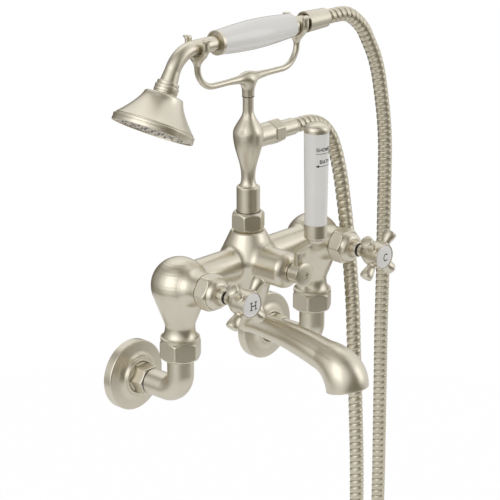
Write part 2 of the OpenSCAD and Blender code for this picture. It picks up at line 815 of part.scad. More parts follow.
// One round ring of the spout, square to the centre line
function spout_ring(i, inset, sides) =
    let (c = spout_line(i), r = spout_radius(i) - inset)
    [for (k = [0:sides - 1]) let (a = 360 * k / sides)
        [r * cos(a), -c[0] - r * sin(a) * sin(c[2]), c[1] + r * sin(a) * cos(c[2])]];

module spout() {
    sides = 28;
    count = spout_rings + 1;
    first = count * sides;
    points = concat(
        [for (i = [0:spout_rings]) each spout_ring(i, 0, sides)],
        [for (i = [0:spout_rings]) each spout_ring(i, spout_wall, sides)]
    );
    color(nickel) polyhedron(points, concat(
        side_faces(0, count, sides, true),
        side_faces(first, count, sides, false),
        end_faces(0, first, sides, false),
        end_faces(first - sides, 2 * first - sides, sides, true)
    ));
}

module flow_straightener() {
    tip = spout_bend_point(spout_turn);
    r = outlet_r - spout_wall - 1.3;
    hole = 1.6;
    color(nickel) translate([0, -tip[0], tip[1]]) rotate([spout_turn - 90, 0, 0])
        translate([0, 0, straightener_depth]) difference() {
            rod(0, 3, r);
            for (row = [0:2], k = [0:max(0, 6 * row - 1)])
                rotate(row == 0 ? 0 : 60 * k / row) translate([row * r / 3, 0, 0]) rod(-1, 5, hole);
        }
}

module diverter_bonnet() {
    color(nickel) at_diverter() difference() {
        lathe(concat(
            [[0, barrel_end - diverter_thread], [diverter_thread_r, barrel_end - diverter_thread]],
            [[diverter_thread_r, barrel_end]],
            quarter([barrel_r, barrel_end], [nose_r, dome_end], 10),
            [[nose_r, diverter_front], [0, diverter_front]]
        ));
        rod(barrel_end - diverter_thread - 1, diverter_front + 1, diverter_spindle_r + running_fit);
    }
}

module diverter_spindle() {
    cam_r = diverter_thread_r - 0.3;
    groove = diverter_front - 5;
    color(nickel) at_diverter() difference() {
        union() {
            rod(cam_back, cam_back + cam_length, cam_r);
            rod(cam_back, diverter_spindle_end, diverter_spindle_r);
        }
        translate([0, -cam_r, cam_back + cam_length / 2])
            cube([cam_r, cam_r, cam_length + 2], center = true);
        tube(groove - 1.1 * seal_r, groove + 1.1 * seal_r, diverter_spindle_r + 1,
             diverter_spindle_r - 2 * seal_r - running_fit);
        rod(diverter_spindle_end - screw_reach, diverter_spindle_end + 1, screw_r + running_fit);
    }
}

module diverter_seal() {
    color(rubber) at_diverter() translate([0, 0, diverter_front - 5])
        rotate_extrude() translate([diverter_spindle_r - seal_r, 0]) circle(seal_r);
}

module lever_arm() {
    foot_z = valve_height + arm_rise;
    pad_r = ferrule_r - 2.5;
    color(nickel) difference() {
        union() {
            at_diverter() {
                rod(lever_back, lever_disc_back + 0.5, nose_r);
                lathe(concat(
                    [[0, lever_disc_back], [lever_disc_r, lever_disc_back]],
                    quarter([lever_disc_r, lever_rim], [0, lever_face], 8)
                ));
            }
            translate([-arm_width / 2, -arm_back - arm_thickness, valve_height])
                cube([arm_width, arm_thickness, arm_rise]);
            hull() {
                translate([-arm_width / 2, -arm_back - arm_thickness, foot_z - 5])
                    cube([arm_width, arm_thickness, 5]);
                translate([-arm_width / 2, -grip_front - arm_thickness / 2, ferrule_z - 5])
                    cube([arm_width, arm_thickness, 5]);
            }
            translate([0, -grip_front, 0]) {
                rod(ferrule_z - 4, ferrule_z, pad_r);
                rod(ferrule_z - 2, rod_top, rod_r);
            }
        }
        at_diverter() {
            rod(lever_back - 1, diverter_spindle_end + running_fit, diverter_spindle_r + running_fit);
            rod(lever_back, lever_face + 1, screw_r + running_fit);
            rod(lever_screw_seat, lever_face + 1, screw_head_r + 0.4);
        }
    }
}

module lever_screw() {
    color(nickel) at_diverter() difference() {
        union() {
            rod(diverter_spindle_end - screw_reach + 1, lever_screw_seat + 1, screw_r);
            rod(lever_screw_seat, lever_face - 0.8, screw_head_r);
        }
        translate([0, 0, lever_face - 1]) cube([2 * screw_head_r, 1, 2.4], center = true);
    }
}

module lever_ferrule() {
    color(nickel) translate([0, -grip_front, 0]) difference() {
        lathe(concat(
            [[0, ferrule_z], [ferrule_r - 1.5, ferrule_z]],
            arc([ferrule_r - 1.5, ferrule_z + 1.5], 1.5, 270, 360, 4),
            [[ferrule_r, grip_z], [0, grip_z]]
        ));
        rod(ferrule_z - 1, grip_z + 1, rod_r + running_fit);
    }
}

module lever_grip() {
    color(porcelain) translate([0, -grip_front, 0]) difference() {
        lathe([[0, grip_z], [grip_foot_r, grip_z], [grip_top_r, cap_z], [0, cap_z]]);
        rod(grip_z - 1, cap_z + 1, rod_r + running_fit);
    }
}

module lever_cap() {
    color(nickel) translate([0, -grip_front, 0]) difference() {
        lathe(concat(
            [[0, cap_z], [grip_top_r + 0.2, cap_z]],
            quarter([grip_top_r + 0.2, cap_z + cap_height * 0.3], [0, cap_z + cap_height], 8)
        ));
        rod(cap_z - 1, rod_top + running_fit, rod_r + running_fit);
    }
}

module column_nut() {
    color(nickel) on_column() difference() {
        hexagon(column_nut_base, column_nut_top, column_nut_af, 30);
        rod(column_nut_base - 1, column_nut_top + 1, column_r + running_fit);
        rod(column_nut_base - 1, column_nut_top - column_nut_lip, column_thread_r + running_fit);
    }
}

module column_washer() {
    color(rubber) on_column()
        tube(centre_top + column_thread, column_base, column_thread_r - 1, column_bore + 2);
}

module riser_column() {
    step = 1.2;
    color(nickel) difference() {
        union() {
            on_column() lathe(concat(
                [[0, column_base], [column_thread_r, column_base], [column_thread_r, column_collar_top]],
                [[column_r, column_collar_top], [column_r, foot_end - step]],
                arc([column_r - step, foot_end - step], step, 0, 90, 4),
                cove([column_r - step, foot_end], [waist_r, waist_z], 6),
                ogee([waist_r, waist_z + 0.1], [vase_r, vase_z], 14),
                ogee([vase_r, vase_z + 0.1], [cradle_neck_r, shoulder_z], 12),
                [[cradle_neck_r, column_top], [cradle_spigot_r, column_top]],
                [[cradle_spigot_r, column_top + cradle_spigot], [0, column_top + cradle_spigot]]
            ));
            translate([0, -body_reach, port_z]) to_right() {
                rod(0, port_reach, port_r);
                rod(0, port_end, port_thread_r);
            }
        }
        on_column() rod(column_base - 1, port_z, column_bore);
        translate([0, -body_reach, port_z]) to_right() rod(0, port_end + 1, column_bore);
    }
}

module on_port() translate([0, -body_reach, port_z]) to_right() children();

module hose_washer() {
    color(rubber) on_port() tube(port_end, hose_collar_start, port_thread_r - 0.4, column_bore + 0.5);
}

module hose_nut() {
    color(nickel) on_port() difference() {
        hexagon(hose_nut_start, hose_nut_end, hose_nut_af);
        rod(hose_nut_start - 1, hose_nut_end + 1, hose_stem_r + running_fit);
        rod(hose_nut_start - 1, hose_nut_end - hose_nut_lip, port_thread_r + running_fit);
    }
}

module hose_ferrule() {
    tip = 2;
    collar = port_thread_r - 0.4;
    color(nickel) on_port() difference() {
        lathe([
            [0, hose_collar_start], [collar, hose_collar_start], [collar, hose_collar_end],
            [hose_stem_r, hose_collar_end], [hose_stem_r, hose_ferrule_start],
            [hose_ferrule_r, hose_ferrule_start],
            [hose_ferrule_r, hose_start - tip], [hose_r, hose_start], [0, hose_start]
        ]);
        rod(hose_collar_start - 1, hose_start + 1, hose_bore);
    }
}

// One half of the cradle bar: a straight run, a bend up and a crook around the hand shower
module cradle_arm() {
    to_right() rod(0, crook_reach - crook_bend, cradle_bar_r);
    translate([crook_reach - crook_bend, 0, crook_bend]) rotate([90, 0, 0]) rotate(-90)
        rotate_extrude(angle = 90) translate([crook_bend, 0]) circle(cradle_bar_r);
    translate([crook_reach, 0, 0]) {
        translate([0, 0, crook_bend])
            cylinder(h = crook_z - crook_r - crook_bend, r1 = cradle_bar_r, r2 = crook_bar_r);
        translate([0, 0, crook_z]) rotate([90, 0, 90]) rotate(180)
            rotate_extrude(angle = 180) translate([crook_r, 0]) circle(crook_bar_r);
        for (turn = [0, 180]) rotate(turn) translate([0, crook_r, 0]) {
            rod(crook_z, handset_rise + crook_tip, crook_bar_r);
            translate([-crook_bar_r, -crook_bar_r, handset_rise + crook_tip - lip_thickness])
                cube([2 * crook_bar_r, 2 * crook_bar_r + crook_lip, lip_thickness]);
        }
    }
}

module cradle() {
    socket_r = cradle_neck_r + 0.4;
    color(nickel) on_column() difference() {
        union() {
            translate([0, 0, cradle_z]) for (turn = [0, 180]) rotate(turn) {
                cradle_arm();
                to_right() cylinder(h = saddle_length, r1 = saddle_r, r2 = cradle_bar_r);
            }
            translate([0, 0, column_top]) cylinder(h = cradle_rise, r1 = socket_r, r2 = socket_r + 1.4);
        }
        rod(column_top - 1, column_top + cradle_spigot + running_fit, cradle_spigot_r + running_fit);
    }
}

// Places children at the point where the tube leaves the bend, with +Z along the rose axis
module at_rose() {
    translate([-shower_bend_start - shower_bend * sin(rose_bend), -body_reach,
               handset_z - shower_bend * (1 - cos(rose_bend))])
        rotate([0, 180 + rose_tilt, 0]) translate([0, 0, shower_tail]) children();
}

module shower_tube_run(r, extra) {
    translate([0, -body_reach, handset_z]) to_right() rod(-shower_bend_start, tube_rear + extra, r);
    translate([-shower_bend_start, -body_reach, handset_z - shower_bend]) rotate([90, 0, 0]) rotate(90)
        rotate_extrude(angle = rose_bend) translate([shower_bend, 0]) circle(r);
}

module shower_tube() {
    color(nickel) difference() {
        shower_tube_run(shower_tube_r, 0);
        shower_tube_run(shower_tube_bore, 1);
    }
}

module rose_neck() {
    flare = 1;
    color(nickel) at_rose() difference() {
        union() {
            rod(-shower_tail, rose_shoulder + 4, shower_tube_r);
            translate([0, 0, -shower_tail])
                cylinder(h = shower_tail, r1 = shower_tube_r, r2 = shower_tube_r + flare);
        }
        rod(-shower_tail - 1, rose_shoulder + 5, shower_tube_bore);
    }
}

module rose_nut() {
    step = 0.9;
    color(nickel) at_rose() difference() {
        lathe([
            [0, 0], [rose_nut_r - step, 0], [rose_nut_r - step, rose_nut_height / 3],
            [rose_nut_r, rose_nut_height / 3 + 0.4], [rose_nut_r, rose_nut_height], [0, rose_nut_height]
        ]);
        rod(-1, rose_nut_height + 1, shower_tube_r + running_fit);
    }
}

// Outside of the rose as a flaring bell, from its top to its rim
function bell(inset, n = 12) =
    [for (i = [0:n]) let (t = i / n)
        [rose_shoulder_r - inset + (rose_r - 1 - rose_shoulder_r) * pow(t, 1.35),
         rose_shoulder + 1.5 + (rose_height - rose_bead - 1.5) * t]];

module rose() {
    top = rose_nut_height;
    neck = shower_tube_r + 2.6;
    ceiling = rose_shoulder + rose_wall + 1.4;
    plate_back = plate_seat - nozzle_plate;
    color(nickel) at_rose() difference() {
        lathe(concat(
            [[0, top], [neck, top], [neck, rose_shoulder - 1], [rose_shoulder_r - 2, rose_shoulder]],
            bell(0),
            [[rose_r - 1, rose_rim - rose_bead + 0.6], [rose_r, rose_rim - rose_bead + 1.2]],
            [[rose_r, rose_rim - 0.6]],
            [[rose_r - 0.6, rose_rim], [0, rose_rim]]
        ));
        rod(top - 1, rose_shoulder + 4 + running_fit, shower_tube_r + running_fit);
        lathe(concat(
            [[0, ceiling], [rose_shoulder_r - rose_wall - 2, ceiling]],
            bell(rose_wall),
            [[rose_r - 1 - rose_wall, plate_back], [nozzle_r + running_fit, plate_back]],
            [[nozzle_r + running_fit, rose_rim + 1], [0, rose_rim + 1]]
        ));
    }
}

module nozzle_plate() {
    color(nickel) at_rose() difference() {
        rod(plate_seat - nozzle_plate, plate_seat, nozzle_r);
        for (row = nozzle_rows, k = [0:row[1] - 1])
            rotate(360 * k / row[1]) translate([row[0], 0, 0])
                rod(plate_seat - nozzle_plate - 1, plate_seat + 1, nozzle_pip_r);
    }
}

module on_handset() translate([0, -body_reach, handset_z]) to_right() children();

module shower_handle() {
    rise = handle_mid_r - handle_end_r;
    color(porcelain) on_handset() difference() {
        lathe(concat(
            [[0, -handle_front]],
            [for (i = [0:16]) let (t = i / 16)
                [handle_end_r + rise * sin(180 * t), -handle_front + handle_length * t]],
            [[0, handle_rear]]
        ));
        rod(-handle_front - 1, handle_rear + 1, shower_tube_r + running_fit);
    }
}

module handle_rings() {
    color(nickel) on_handset() difference() {
        union() {
            rod(-handle_front - handle_ring, -handle_front, handle_end_r + 0.2);
            rod(handle_rear, rear_ring_end, handle_end_r - 1);
        }
        rod(-handle_front - handle_ring - 1, rear_ring_end + 1, shower_tube_r + running_fit);
        rod(-handle_front - handle_ring - 1, -handle_front - 1, handle_end_r - 1.2);
    }
}

module rear_ferrule() {
    tip = 3;
    color(nickel) on_handset() difference() {
        lathe([
            [0, rear_ferrule_start], [rear_ferrule_r, rear_ferrule_start],
            [rear_ferrule_tip_r + 0.8, rear_ferrule_end - tip],
            [hose_r, rear_ferrule_end], [0, rear_ferrule_end]
        ]);
        rod(rear_ferrule_start - 1, rear_ferrule_end + 1, hose_bore);
        rod(rear_ferrule_start - 1, tube_rear + running_fit, shower_tube_r + running_fit);
        rod(rear_ferrule_start - 1, rear_ferrule_start + rear_cup, rear_ferrule_r - 1.2);
    }
}

// Smooth curve through the hose route, straight at both ends, and places at equal steps along it
function unit(v) = v / norm(v);

function route_heading(p, i) =
    let (n = len(p) - 1)
    i <= 1 ? unit(p[1] - p[0]) : i >= n - 1 ? unit(p[n] - p[n - 1]) : unit(p[i + 1] - p[i - 1]);

function curve_point(p, i, t) =
    let (b = p[i], c = p[i + 1], d = norm(c - b))
    let (m0 = route_heading(p, i) * d, m1 = route_heading(p, i + 1) * d)
    (2 * pow(t, 3) - 3 * t * t + 1) * b + (pow(t, 3) - 2 * t * t + t) * m0 +
    (3 * t * t - 2 * pow(t, 3)) * c + (pow(t, 3) - t * t) * m1;

curve_steps = 24;
hose_curve = concat(
    [for (i = [0:len(HOSE_ROUTE) - 2], s = [0:curve_steps - 1])
        curve_point(HOSE_ROUTE, i, s / curve_steps)],
    [HOSE_ROUTE[len(HOSE_ROUTE) - 1]]
);
hose_travel = [for (i = 0, s = 0; i < len(hose_curve);
    s = s + (i + 1 < len(hose_curve) ? norm(hose_curve[i + 1] - hose_curve[i]) : 0), i = i + 1) s];
hose_length = hose_travel[len(hose_travel) - 1];
hose_index = [for (i = [0:len(hose_curve) - 1]) [hose_travel[i], i]];

function hose_at(s) =
    let (u = lookup(s, hose_index), i = min(floor(u), len(hose_curve) - 2))
    hose_curve[i] + (hose_curve[i + 1] - hose_curve[i]) * (u - i);

function hose_heading(s) = unit(hose_at(min(s + 1, hose_length)) - hose_at(max(s - 1, 0)));

// Ring frames carried along the curve without twist
function carried(s, n) = let (h = hose_heading(s)) unit(n - h * (h * n));

function sweep_rings(stations, sides) =
    let (count = len(stations))
    [for (i = 0, n = carried(stations[0][0], [0, 1, 0]); i < count;
          i = i + 1, n = i < count ? carried(stations[i][0], n) : n)
        let (s = stations[i][0], r = stations[i][1], c = hose_at(s), b = cross(hose_heading(s), n))
        [for (k = [0:sides - 1]) c + r * (n * cos(360 * k / sides) + b * sin(360 * k / sides))]];

module shower_hose() {
    sides = 8;
    pitch = hose_length / hose_ribs;
    bore_rings = 75;
    outside = concat(
        [[0, hose_r]],
        [for (i = [0:hose_ribs - 1], half = [0, 1])
            [(i + 0.3 + 0.45 * half) * pitch, half == 0 ? hose_r : hose_r - hose_groove]],
        [[hose_length, hose_r]]
    );
    inside = [for (i = [0:bore_rings]) [hose_length * i / bore_rings, hose_bore]];
    points = concat(
        [for (ring = sweep_rings(outside, sides)) each ring],
        [for (ring = sweep_rings(inside, sides)) each ring]
    );
    first = len(outside) * sides;
    out_end = first - sides;
    in_end = first + bore_rings * sides;
    color(nickel) polyhedron(points, concat(
        side_faces(0, len(outside), sides, true),
        side_faces(first, bore_rings + 1, sides, false),
        end_faces(0, first, sides, false),
        end_faces(out_end, in_end, sides, true)
    ));
}

echo(hose_length = hose_length);

wall_flange(hot);  // hot_wall_flange
wall_flange(cold);  // cold_wall_flange
wall_nut(hot);  // hot_wall_nut
wall_nut(cold);  // cold_wall_nut
elbow(hot);  // hot_elbow
elbow(cold);  // cold_elbow
union_nut(hot);  // hot_union_nut
union_nut(cold);  // cold_union_nut
union_washer(hot);  // hot_union_washer
union_washer(cold);  // cold_union_washer
tap_body(hot);  // hot_tap_body
tap_body(cold);  // cold_tap_body
crossbar(hot);  // hot_crossbar
crossbar(cold);  // cold_crossbar
bonnet(hot);  // hot_bonnet
bonnet(cold);  // cold_bonnet
gland_collar(hot);  // hot_gland_collar
gland_collar(cold);  // cold_gland_collar
fixed_disc(hot);  // hot_fixed_disc
fixed_disc(cold);  // cold_fixed_disc
moving_disc(hot);  // hot_moving_disc
moving_disc(cold);  // cold_moving_disc
spindle(hot);  // hot_spindle
spindle(cold);  // cold_spindle
spindle_seal(hot);  // hot_spindle_seal
spindle_seal(cold);  // cold_spindle_seal
cross_handle(hot);  // hot_cross_handle
cross_handle(cold);  // cold_cross_handle
handle_screw(hot);  // hot_handle_screw
handle_screw(cold);  // cold_handle_screw
index(hot);  // hot_index
index(cold);  // cold_index
centre_body();
spout();
flow_straightener();
diverter_bonnet();
diverter_spindle();
diverter_seal();
lever_arm();
lever_screw();
lever_ferrule();
lever_grip();
lever_cap();
column_nut();
column_washer();
riser_column();
hose_washer();
hose_nut();
hose_ferrule();
cradle();
shower_tube();
rose_neck();
rose_nut();
rose();
nozzle_plate();
shower_handle();
handle_rings();
rear_ferrule();
shower_hose();
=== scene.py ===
"""Looks of the wall-mounted bath shower mixer: camera, hose, finer meshes, finishes and studio."""
import math

import bmesh
import bpy
import numpy as np
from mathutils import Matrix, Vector


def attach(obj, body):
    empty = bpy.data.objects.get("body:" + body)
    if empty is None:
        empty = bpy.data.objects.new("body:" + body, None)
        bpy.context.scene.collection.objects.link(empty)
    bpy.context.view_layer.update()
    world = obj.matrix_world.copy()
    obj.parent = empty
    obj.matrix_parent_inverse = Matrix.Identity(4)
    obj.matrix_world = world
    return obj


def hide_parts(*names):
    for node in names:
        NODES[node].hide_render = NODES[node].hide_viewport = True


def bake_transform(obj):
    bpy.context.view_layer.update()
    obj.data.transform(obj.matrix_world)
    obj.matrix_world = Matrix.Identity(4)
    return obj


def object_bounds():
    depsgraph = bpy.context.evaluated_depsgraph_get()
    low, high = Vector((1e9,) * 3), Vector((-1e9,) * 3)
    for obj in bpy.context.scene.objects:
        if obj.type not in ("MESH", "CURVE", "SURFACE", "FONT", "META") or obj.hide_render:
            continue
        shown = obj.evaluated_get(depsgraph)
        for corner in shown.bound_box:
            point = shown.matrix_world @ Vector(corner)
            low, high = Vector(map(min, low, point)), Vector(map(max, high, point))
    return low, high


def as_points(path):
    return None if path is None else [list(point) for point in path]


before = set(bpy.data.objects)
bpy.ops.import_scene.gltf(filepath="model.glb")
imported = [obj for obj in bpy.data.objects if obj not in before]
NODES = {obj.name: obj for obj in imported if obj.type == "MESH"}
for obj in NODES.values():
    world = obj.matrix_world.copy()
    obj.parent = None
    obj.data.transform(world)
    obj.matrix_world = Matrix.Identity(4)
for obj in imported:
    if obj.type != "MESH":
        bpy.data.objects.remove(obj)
CAD_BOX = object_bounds()
MM = 0.001

# Sizes that part.scad also uses, in millimetres
PITCH, REACH, VALVE_Z, PORT_Z = 180.0, 67.0, 106.0, 221.05
SIDES = {"hot": -1, "cold": 1}
FRONT, RIGHT, UP = (0, -1, 0), (1, 0, 0), (0, 0, 1)
COLUMN, CENTRE = (0, -REACH, 0), (0, -REACH, VALVE_Z)


# Camera, at the photograph's angle

AZIMUTH, ELEVATION = math.radians(-46.84), math.radians(18.65)
CAMERA_AT = (-1.325914, -1.312567, 0.728321)
LENS_MM, SENSOR_MM = 149.28, 36.0
camera_back = Vector((math.sin(AZIMUTH) * math.cos(ELEVATION),
                      -math.cos(AZIMUTH) * math.cos(ELEVATION),
                      math.sin(ELEVATION)))
camera_data = bpy.data.cameras.new("camera")
camera_data.lens = LENS_MM
camera_data.sensor_width = SENSOR_MM
camera = bpy.data.objects.new("camera", camera_data)
camera.location = CAMERA_AT
camera.rotation_mode = "QUATERNION"
camera.rotation_quaternion = (-camera_back).to_track_quat("-Z", "Y")
bpy.context.scene.collection.objects.link(camera)
bpy.context.scene.camera = camera


# Mesh helpers. Shapes are worked out in millimetres and stored in metres.

WELD, HOSE_WELD = 1e-6, 2e-6


def unit(v):
    return v / np.linalg.norm(v)


def placed(name, mesh, weld, flat=False):
    """The mesh as an object, with doubled points welded and faces turned outwards."""
    bm = bmesh.new()
    bm.from_mesh(mesh)
    bmesh.ops.delete(bm, geom=[v for v in bm.verts if not v.link_faces], context="VERTS")
    bmesh.ops.remove_doubles(bm, verts=bm.verts, dist=weld)
    bmesh.ops.recalc_face_normals(bm, faces=bm.faces)
    bm.to_mesh(mesh)
    bm.free()
    for p in mesh.polygons:
        p.use_smooth = not flat
    obj = bpy.data.objects.new(name, mesh)
    bpy.context.scene.collection.objects.link(obj)
    return obj


def add_mesh(name, verts, faces, flat=False):
    mesh = bpy.data.meshes.new(name)
    mesh.from_pydata([tuple(float(c) * MM for c in v) for v in verts], [], faces)
    return placed(name, mesh, WELD, flat)


def soften(obj, angle=32):
    """Smooth shading with crisp edges where faces meet more sharply than the angle."""
    bm = bmesh.new()
    bm.from_mesh(obj.data)
    for e in bm.edges:
        if len(e.link_faces) == 2:
            e.smooth = e.calc_face_angle(0.0) < math.radians(angle)
    bm.to_mesh(obj.data)
    bm.free()
    return obj


def joined(parts):
    """One object from several meshes in the same place."""
    bm = bmesh.new()
    for o in parts:
        bm.from_mesh(o.data)
    bm.to_mesh(parts[0].data)
    bm.free()
    for o in parts[1:]:
        mesh = o.data
        bpy.data.objects.remove(o)
        bpy.data.meshes.remove(mesh)
    return parts[0]


def grid_faces(rows, cols, start=0):
    """Quads between neighbouring rings of equal size."""
    out = []
    for i in range(rows - 1):
        for k in range(cols):
            a, b = start + i * cols + k, start + i * cols + (k + 1) % cols
            out.append((a, b, b + cols, a + cols))
    return out


def frame_of(axis):
    """Vectors u, v and w, with w along the axis."""
    w = unit(np.array(axis, float))
    upright = abs(w[2]) > 0.95
    u = unit(np.cross(np.array(RIGHT if upright else UP, float), w))
    return u, np.cross(w, u), w


# Hose. The route is its middle line, with the same points as in part.scad.

ROUTE = np.array([
    (61.6, -67, 221.05), (75.6, -67, 221.05), (98, -66, 216), (113, -66, 203), (121, -67, 186),
    (125, -70, 164), (127, -73, 140), (127, -78, 110), (126, -84, 72), (124, -90, 30), (122, -94, -10),
    (121, -98, -66), (121, -101, -130), (121, -102, -200), (121, -102, -265), (121, -102, -330),
    (129, -97, -364), (150, -85, -389), (180, -68, -398), (209, -50, -389), (230, -38, -364),
    (238, -33, -330), (237, -34, -255), (235, -36, -194), (231, -39, -138), (227, -42, -81),
    (223, -45, -26), (220, -48, 28), (215, -52, 81), (210, -56, 134), (206, -59, 170), (201, -61, 198),
    (194, -63, 224), (186, -65, 249), (178, -66, 268), (169, -66, 284), (159, -67, 298), (148, -67, 308),
    (136, -67, 315), (120, -67, 317.05), (106, -67, 317.05)], float)
# The route's lowest point, where the two runs meet
HOSE_BOTTOM = 18
HOSE_R, HOSE_PITCH, HOSE_AROUND = 7.0, 6.8, 22
ROUTE_STEPS, HOSE_STEP, PATH_POINTS = 24, 0.5, 120


def route_heading(i):
    """Direction of the hose at a point of the route."""
    n = len(ROUTE) - 1
    if i <= 1:
        return unit(ROUTE[1] - ROUTE[0])
    if i >= n - 1:
        return unit(ROUTE[n] - ROUTE[n - 1])
    return unit(ROUTE[i + 1] - ROUTE[i - 1])


def route_curve(first, last):
    """Smooth curve through the route's points from first to last."""
    out = []
    for i in range(first, last):
        b, c = ROUTE[i], ROUTE[i + 1]
        d = np.linalg.norm(c - b)
        m0, m1 = route_heading(i) * d, route_heading(i + 1) * d
        for s in range(ROUTE_STEPS):
            t = s / ROUTE_STEPS
            out.append((2 * t**3 - 3 * t * t + 1) * b + (t**3 - 2 * t * t + t) * m0
                       + (3 * t * t - 2 * t**3) * c + (t**3 - t * t) * m1)
    out.append(ROUTE[last])
    return np.array(out)


def evenly(points, step):
    """Points at equal steps along a polyline, and the distances to them."""
    travel = np.concatenate([[0], np.cumsum(np.linalg.norm(np.diff(points, axis=0), axis=1))])
    count = max(2, int(round(travel[-1] / step)) + 1)
    s = np.linspace(0, travel[-1], count)
    return np.stack([np.interp(s, travel, points[:, k]) for k in range(3)], 1), s


def carried_frames(points, first_side=(0, 1, 0)):
    """Two side vectors at each point, carried along without twist."""
    heading = np.gradient(points, axis=0)
    heading /= np.linalg.norm(heading, axis=1)[:, None]
    n = np.array(first_side, float)
    sides, binormals = [], []
    for h in heading:
        n = unit(n - h * (h @ n))
        sides.append(n)
        binormals.append(np.cross(h, n))
    return np.array(sides), np.array(binormals)


# One turn of the strip: share of the turn, depth below the rib in millimetres, share of the painted groove
# shade
RIB = [(0.0, 0.8, 1.0), (0.06, 0.66, 0.7), (0.13, 0.26, 0.15), (0.24, 0.07, 0.0), (0.4, 0.0, 0.0),
       (0.6, 0.0, 0.0), (0.76, 0.07, 0.0), (0.87, 0.26, 0.15), (0.94, 0.66, 0.7)]


def hose_run(name, first, last, offset):
    """A stretch of wound-strip hose: a helix of rounded ribs with a narrow groove between turns."""
    around, per = HOSE_AROUND, len(RIB)
    points, s = evenly(route_curve(first, last), HOSE_STEP)
    n, b = carried_frames(points)
    length = s[-1]
    turns = range(int(math.floor(offset / HOSE_PITCH)) - 1, int((length + offset) / HOSE_PITCH) + 2)
    at = np.array([(k + u) * HOSE_PITCH - offset for k in turns for u, _, _ in RIB])
    depth = np.array([d for _ in turns for _, d, _ in RIB])
    dark = np.array([g for _ in turns for _, _, g in RIB])
    angle = np.linspace(0, 2 * np.pi, around, endpoint=False)
    where = np.clip(at[:, None] + HOSE_PITCH * angle[None, :] / (2 * np.pi), 0, length)
    inside = [np.interp(where, s, points[:, c]) for c in range(3)]
    side = [np.interp(where, s, n[:, c]) for c in range(3)]
    other = [np.interp(where, s, b[:, c]) for c in range(3)]
    out = [np.cos(angle) * side[c] + np.sin(angle) * other[c] for c in range(3)]
    r = HOSE_R - depth[:, None]
    verts = np.stack([inside[c] + r * out[c] for c in range(3)], 2)
    faces = []
    rows = len(at)
    for i in range(rows - 1):
        for k in range(around):
            ends = [(i, k), (i, k + 1), (i + 1, k + 1), (i + 1, k)]
            ends = [(a + per, 0) if c == around else (a, c) for a, c in ends]
            if max(a for a, _ in ends) >= rows:
                continue
            span_s = [where[a, c] for a, c in ends]
            if max(span_s) - min(span_s) < 1e-6:
                continue
            faces.append([a * around + c for a, c in ends])
    mesh = bpy.data.meshes.new(name)
    mesh.from_pydata((verts.reshape(-1, 3) * MM).tolist(), [], faces)
    # Each point's share of painted groove shade, which the hose's material mixes in
    groove = mesh.attributes.new("groove", "FLOAT", "POINT")
    groove.data.foreach_set("value", np.repeat(dark, around).astype(np.float32))
    obj = placed(name, mesh, HOSE_WELD)
    every = max(1, len(points) // PATH_POINTS)
    path = [tuple(p * MM) for p in points[::every]]
    if not np.allclose(points[::every][-1], points[-1]):
        path.append(tuple(points[-1] * MM))
    return obj, path, length * MM


hose_down, path_down, length_down = hose_run("hose_outlet_run", 0, HOSE_BOTTOM, 0.0)
hose_up, path_up, length_up = hose_run("hose_handset_run", HOSE_BOTTOM, len(ROUTE) - 1, length_down / MM)


# Materials

PLATE_GRAIN, GRAIN_DEPTH = 1400.0, 0.0002
# Painted shade for the hose's grooves, where the strip tucks under the next turn
GROOVE_SHADE_COLOUR = (0.43, 0.385, 0.29, 1)


def new_material(name):
    mat = bpy.data.materials.new(name)
    mat.use_nodes = True
    tree = mat.node_tree
    tree.nodes.clear()
    out = tree.nodes.new("ShaderNodeOutputMaterial")
    bsdf = tree.nodes.new("ShaderNodeBsdfPrincipled")
    tree.links.new(bsdf.outputs["BSDF"], out.inputs["Surface"])
    return mat, tree, bsdf


def noise(tree, scale, detail=3.0, rough=0.5):
    coord = tree.nodes.new("ShaderNodeTexCoord")
    tex = tree.nodes.new("ShaderNodeTexNoise")
    tex.inputs["Scale"].default_value = scale
    tex.inputs["Detail"].default_value = detail
    tex.inputs["Roughness"].default_value = rough
    tree.links.new(coord.outputs["Object"], tex.inputs["Vector"])
    return tex.outputs["Fac"]


def ramp(tree, fac, low, high):
    """A colour that runs from low to high, each a (position, colour) pair."""
    node = tree.nodes.new("ShaderNodeValToRGB")
    for element, (position, colour) in zip(node.color_ramp.elements, (low, high)):
        element.position = position
        element.color = (*colour, 1)
    tree.links.new(fac, node.inputs["Fac"])
    return node.outputs["Color"]


def span(tree, fac, low, high):
    node = tree.nodes.new("ShaderNodeMapRange")
    node.inputs["To Min"].default_value = low
    node.inputs["To Max"].default_value = high
    tree.links.new(fac, node.inputs["Value"])
    return node.outputs["Result"]


def bump(tree, bsdf, height, strength, distance):
    node = tree.nodes.new("ShaderNodeBump")
    node.inputs["Strength"].default_value = strength
    node.inputs["Distance"].default_value = distance
    tree.links.new(height, node.inputs["Height"])
    tree.links.new(node.outputs["Normal"], bsdf.inputs["Normal"])


def nickel(name, light, dark, rough, grain_strength=0.05):
    """Satin nickel: warm plate with faint tone drift, uneven sheen and a fine grain."""
    mat, tree, bsdf = new_material(name)
    bsdf.inputs["Metallic"].default_value = 1.0
    drift = noise(tree, 38.0, 4.0, 0.55)
    tree.links.new(ramp(tree, drift, (0.3, dark), (0.72, light)), bsdf.inputs["Base Color"])
    sheen = noise(tree, 160.0, 3.0, 0.6)
    tree.links.new(span(tree, sheen, rough - 0.035, rough + 0.045), bsdf.inputs["Roughness"])
    bump(tree, bsdf, noise(tree, PLATE_GRAIN, 2.0, 0.6), grain_strength, GRAIN_DEPTH)
    return mat


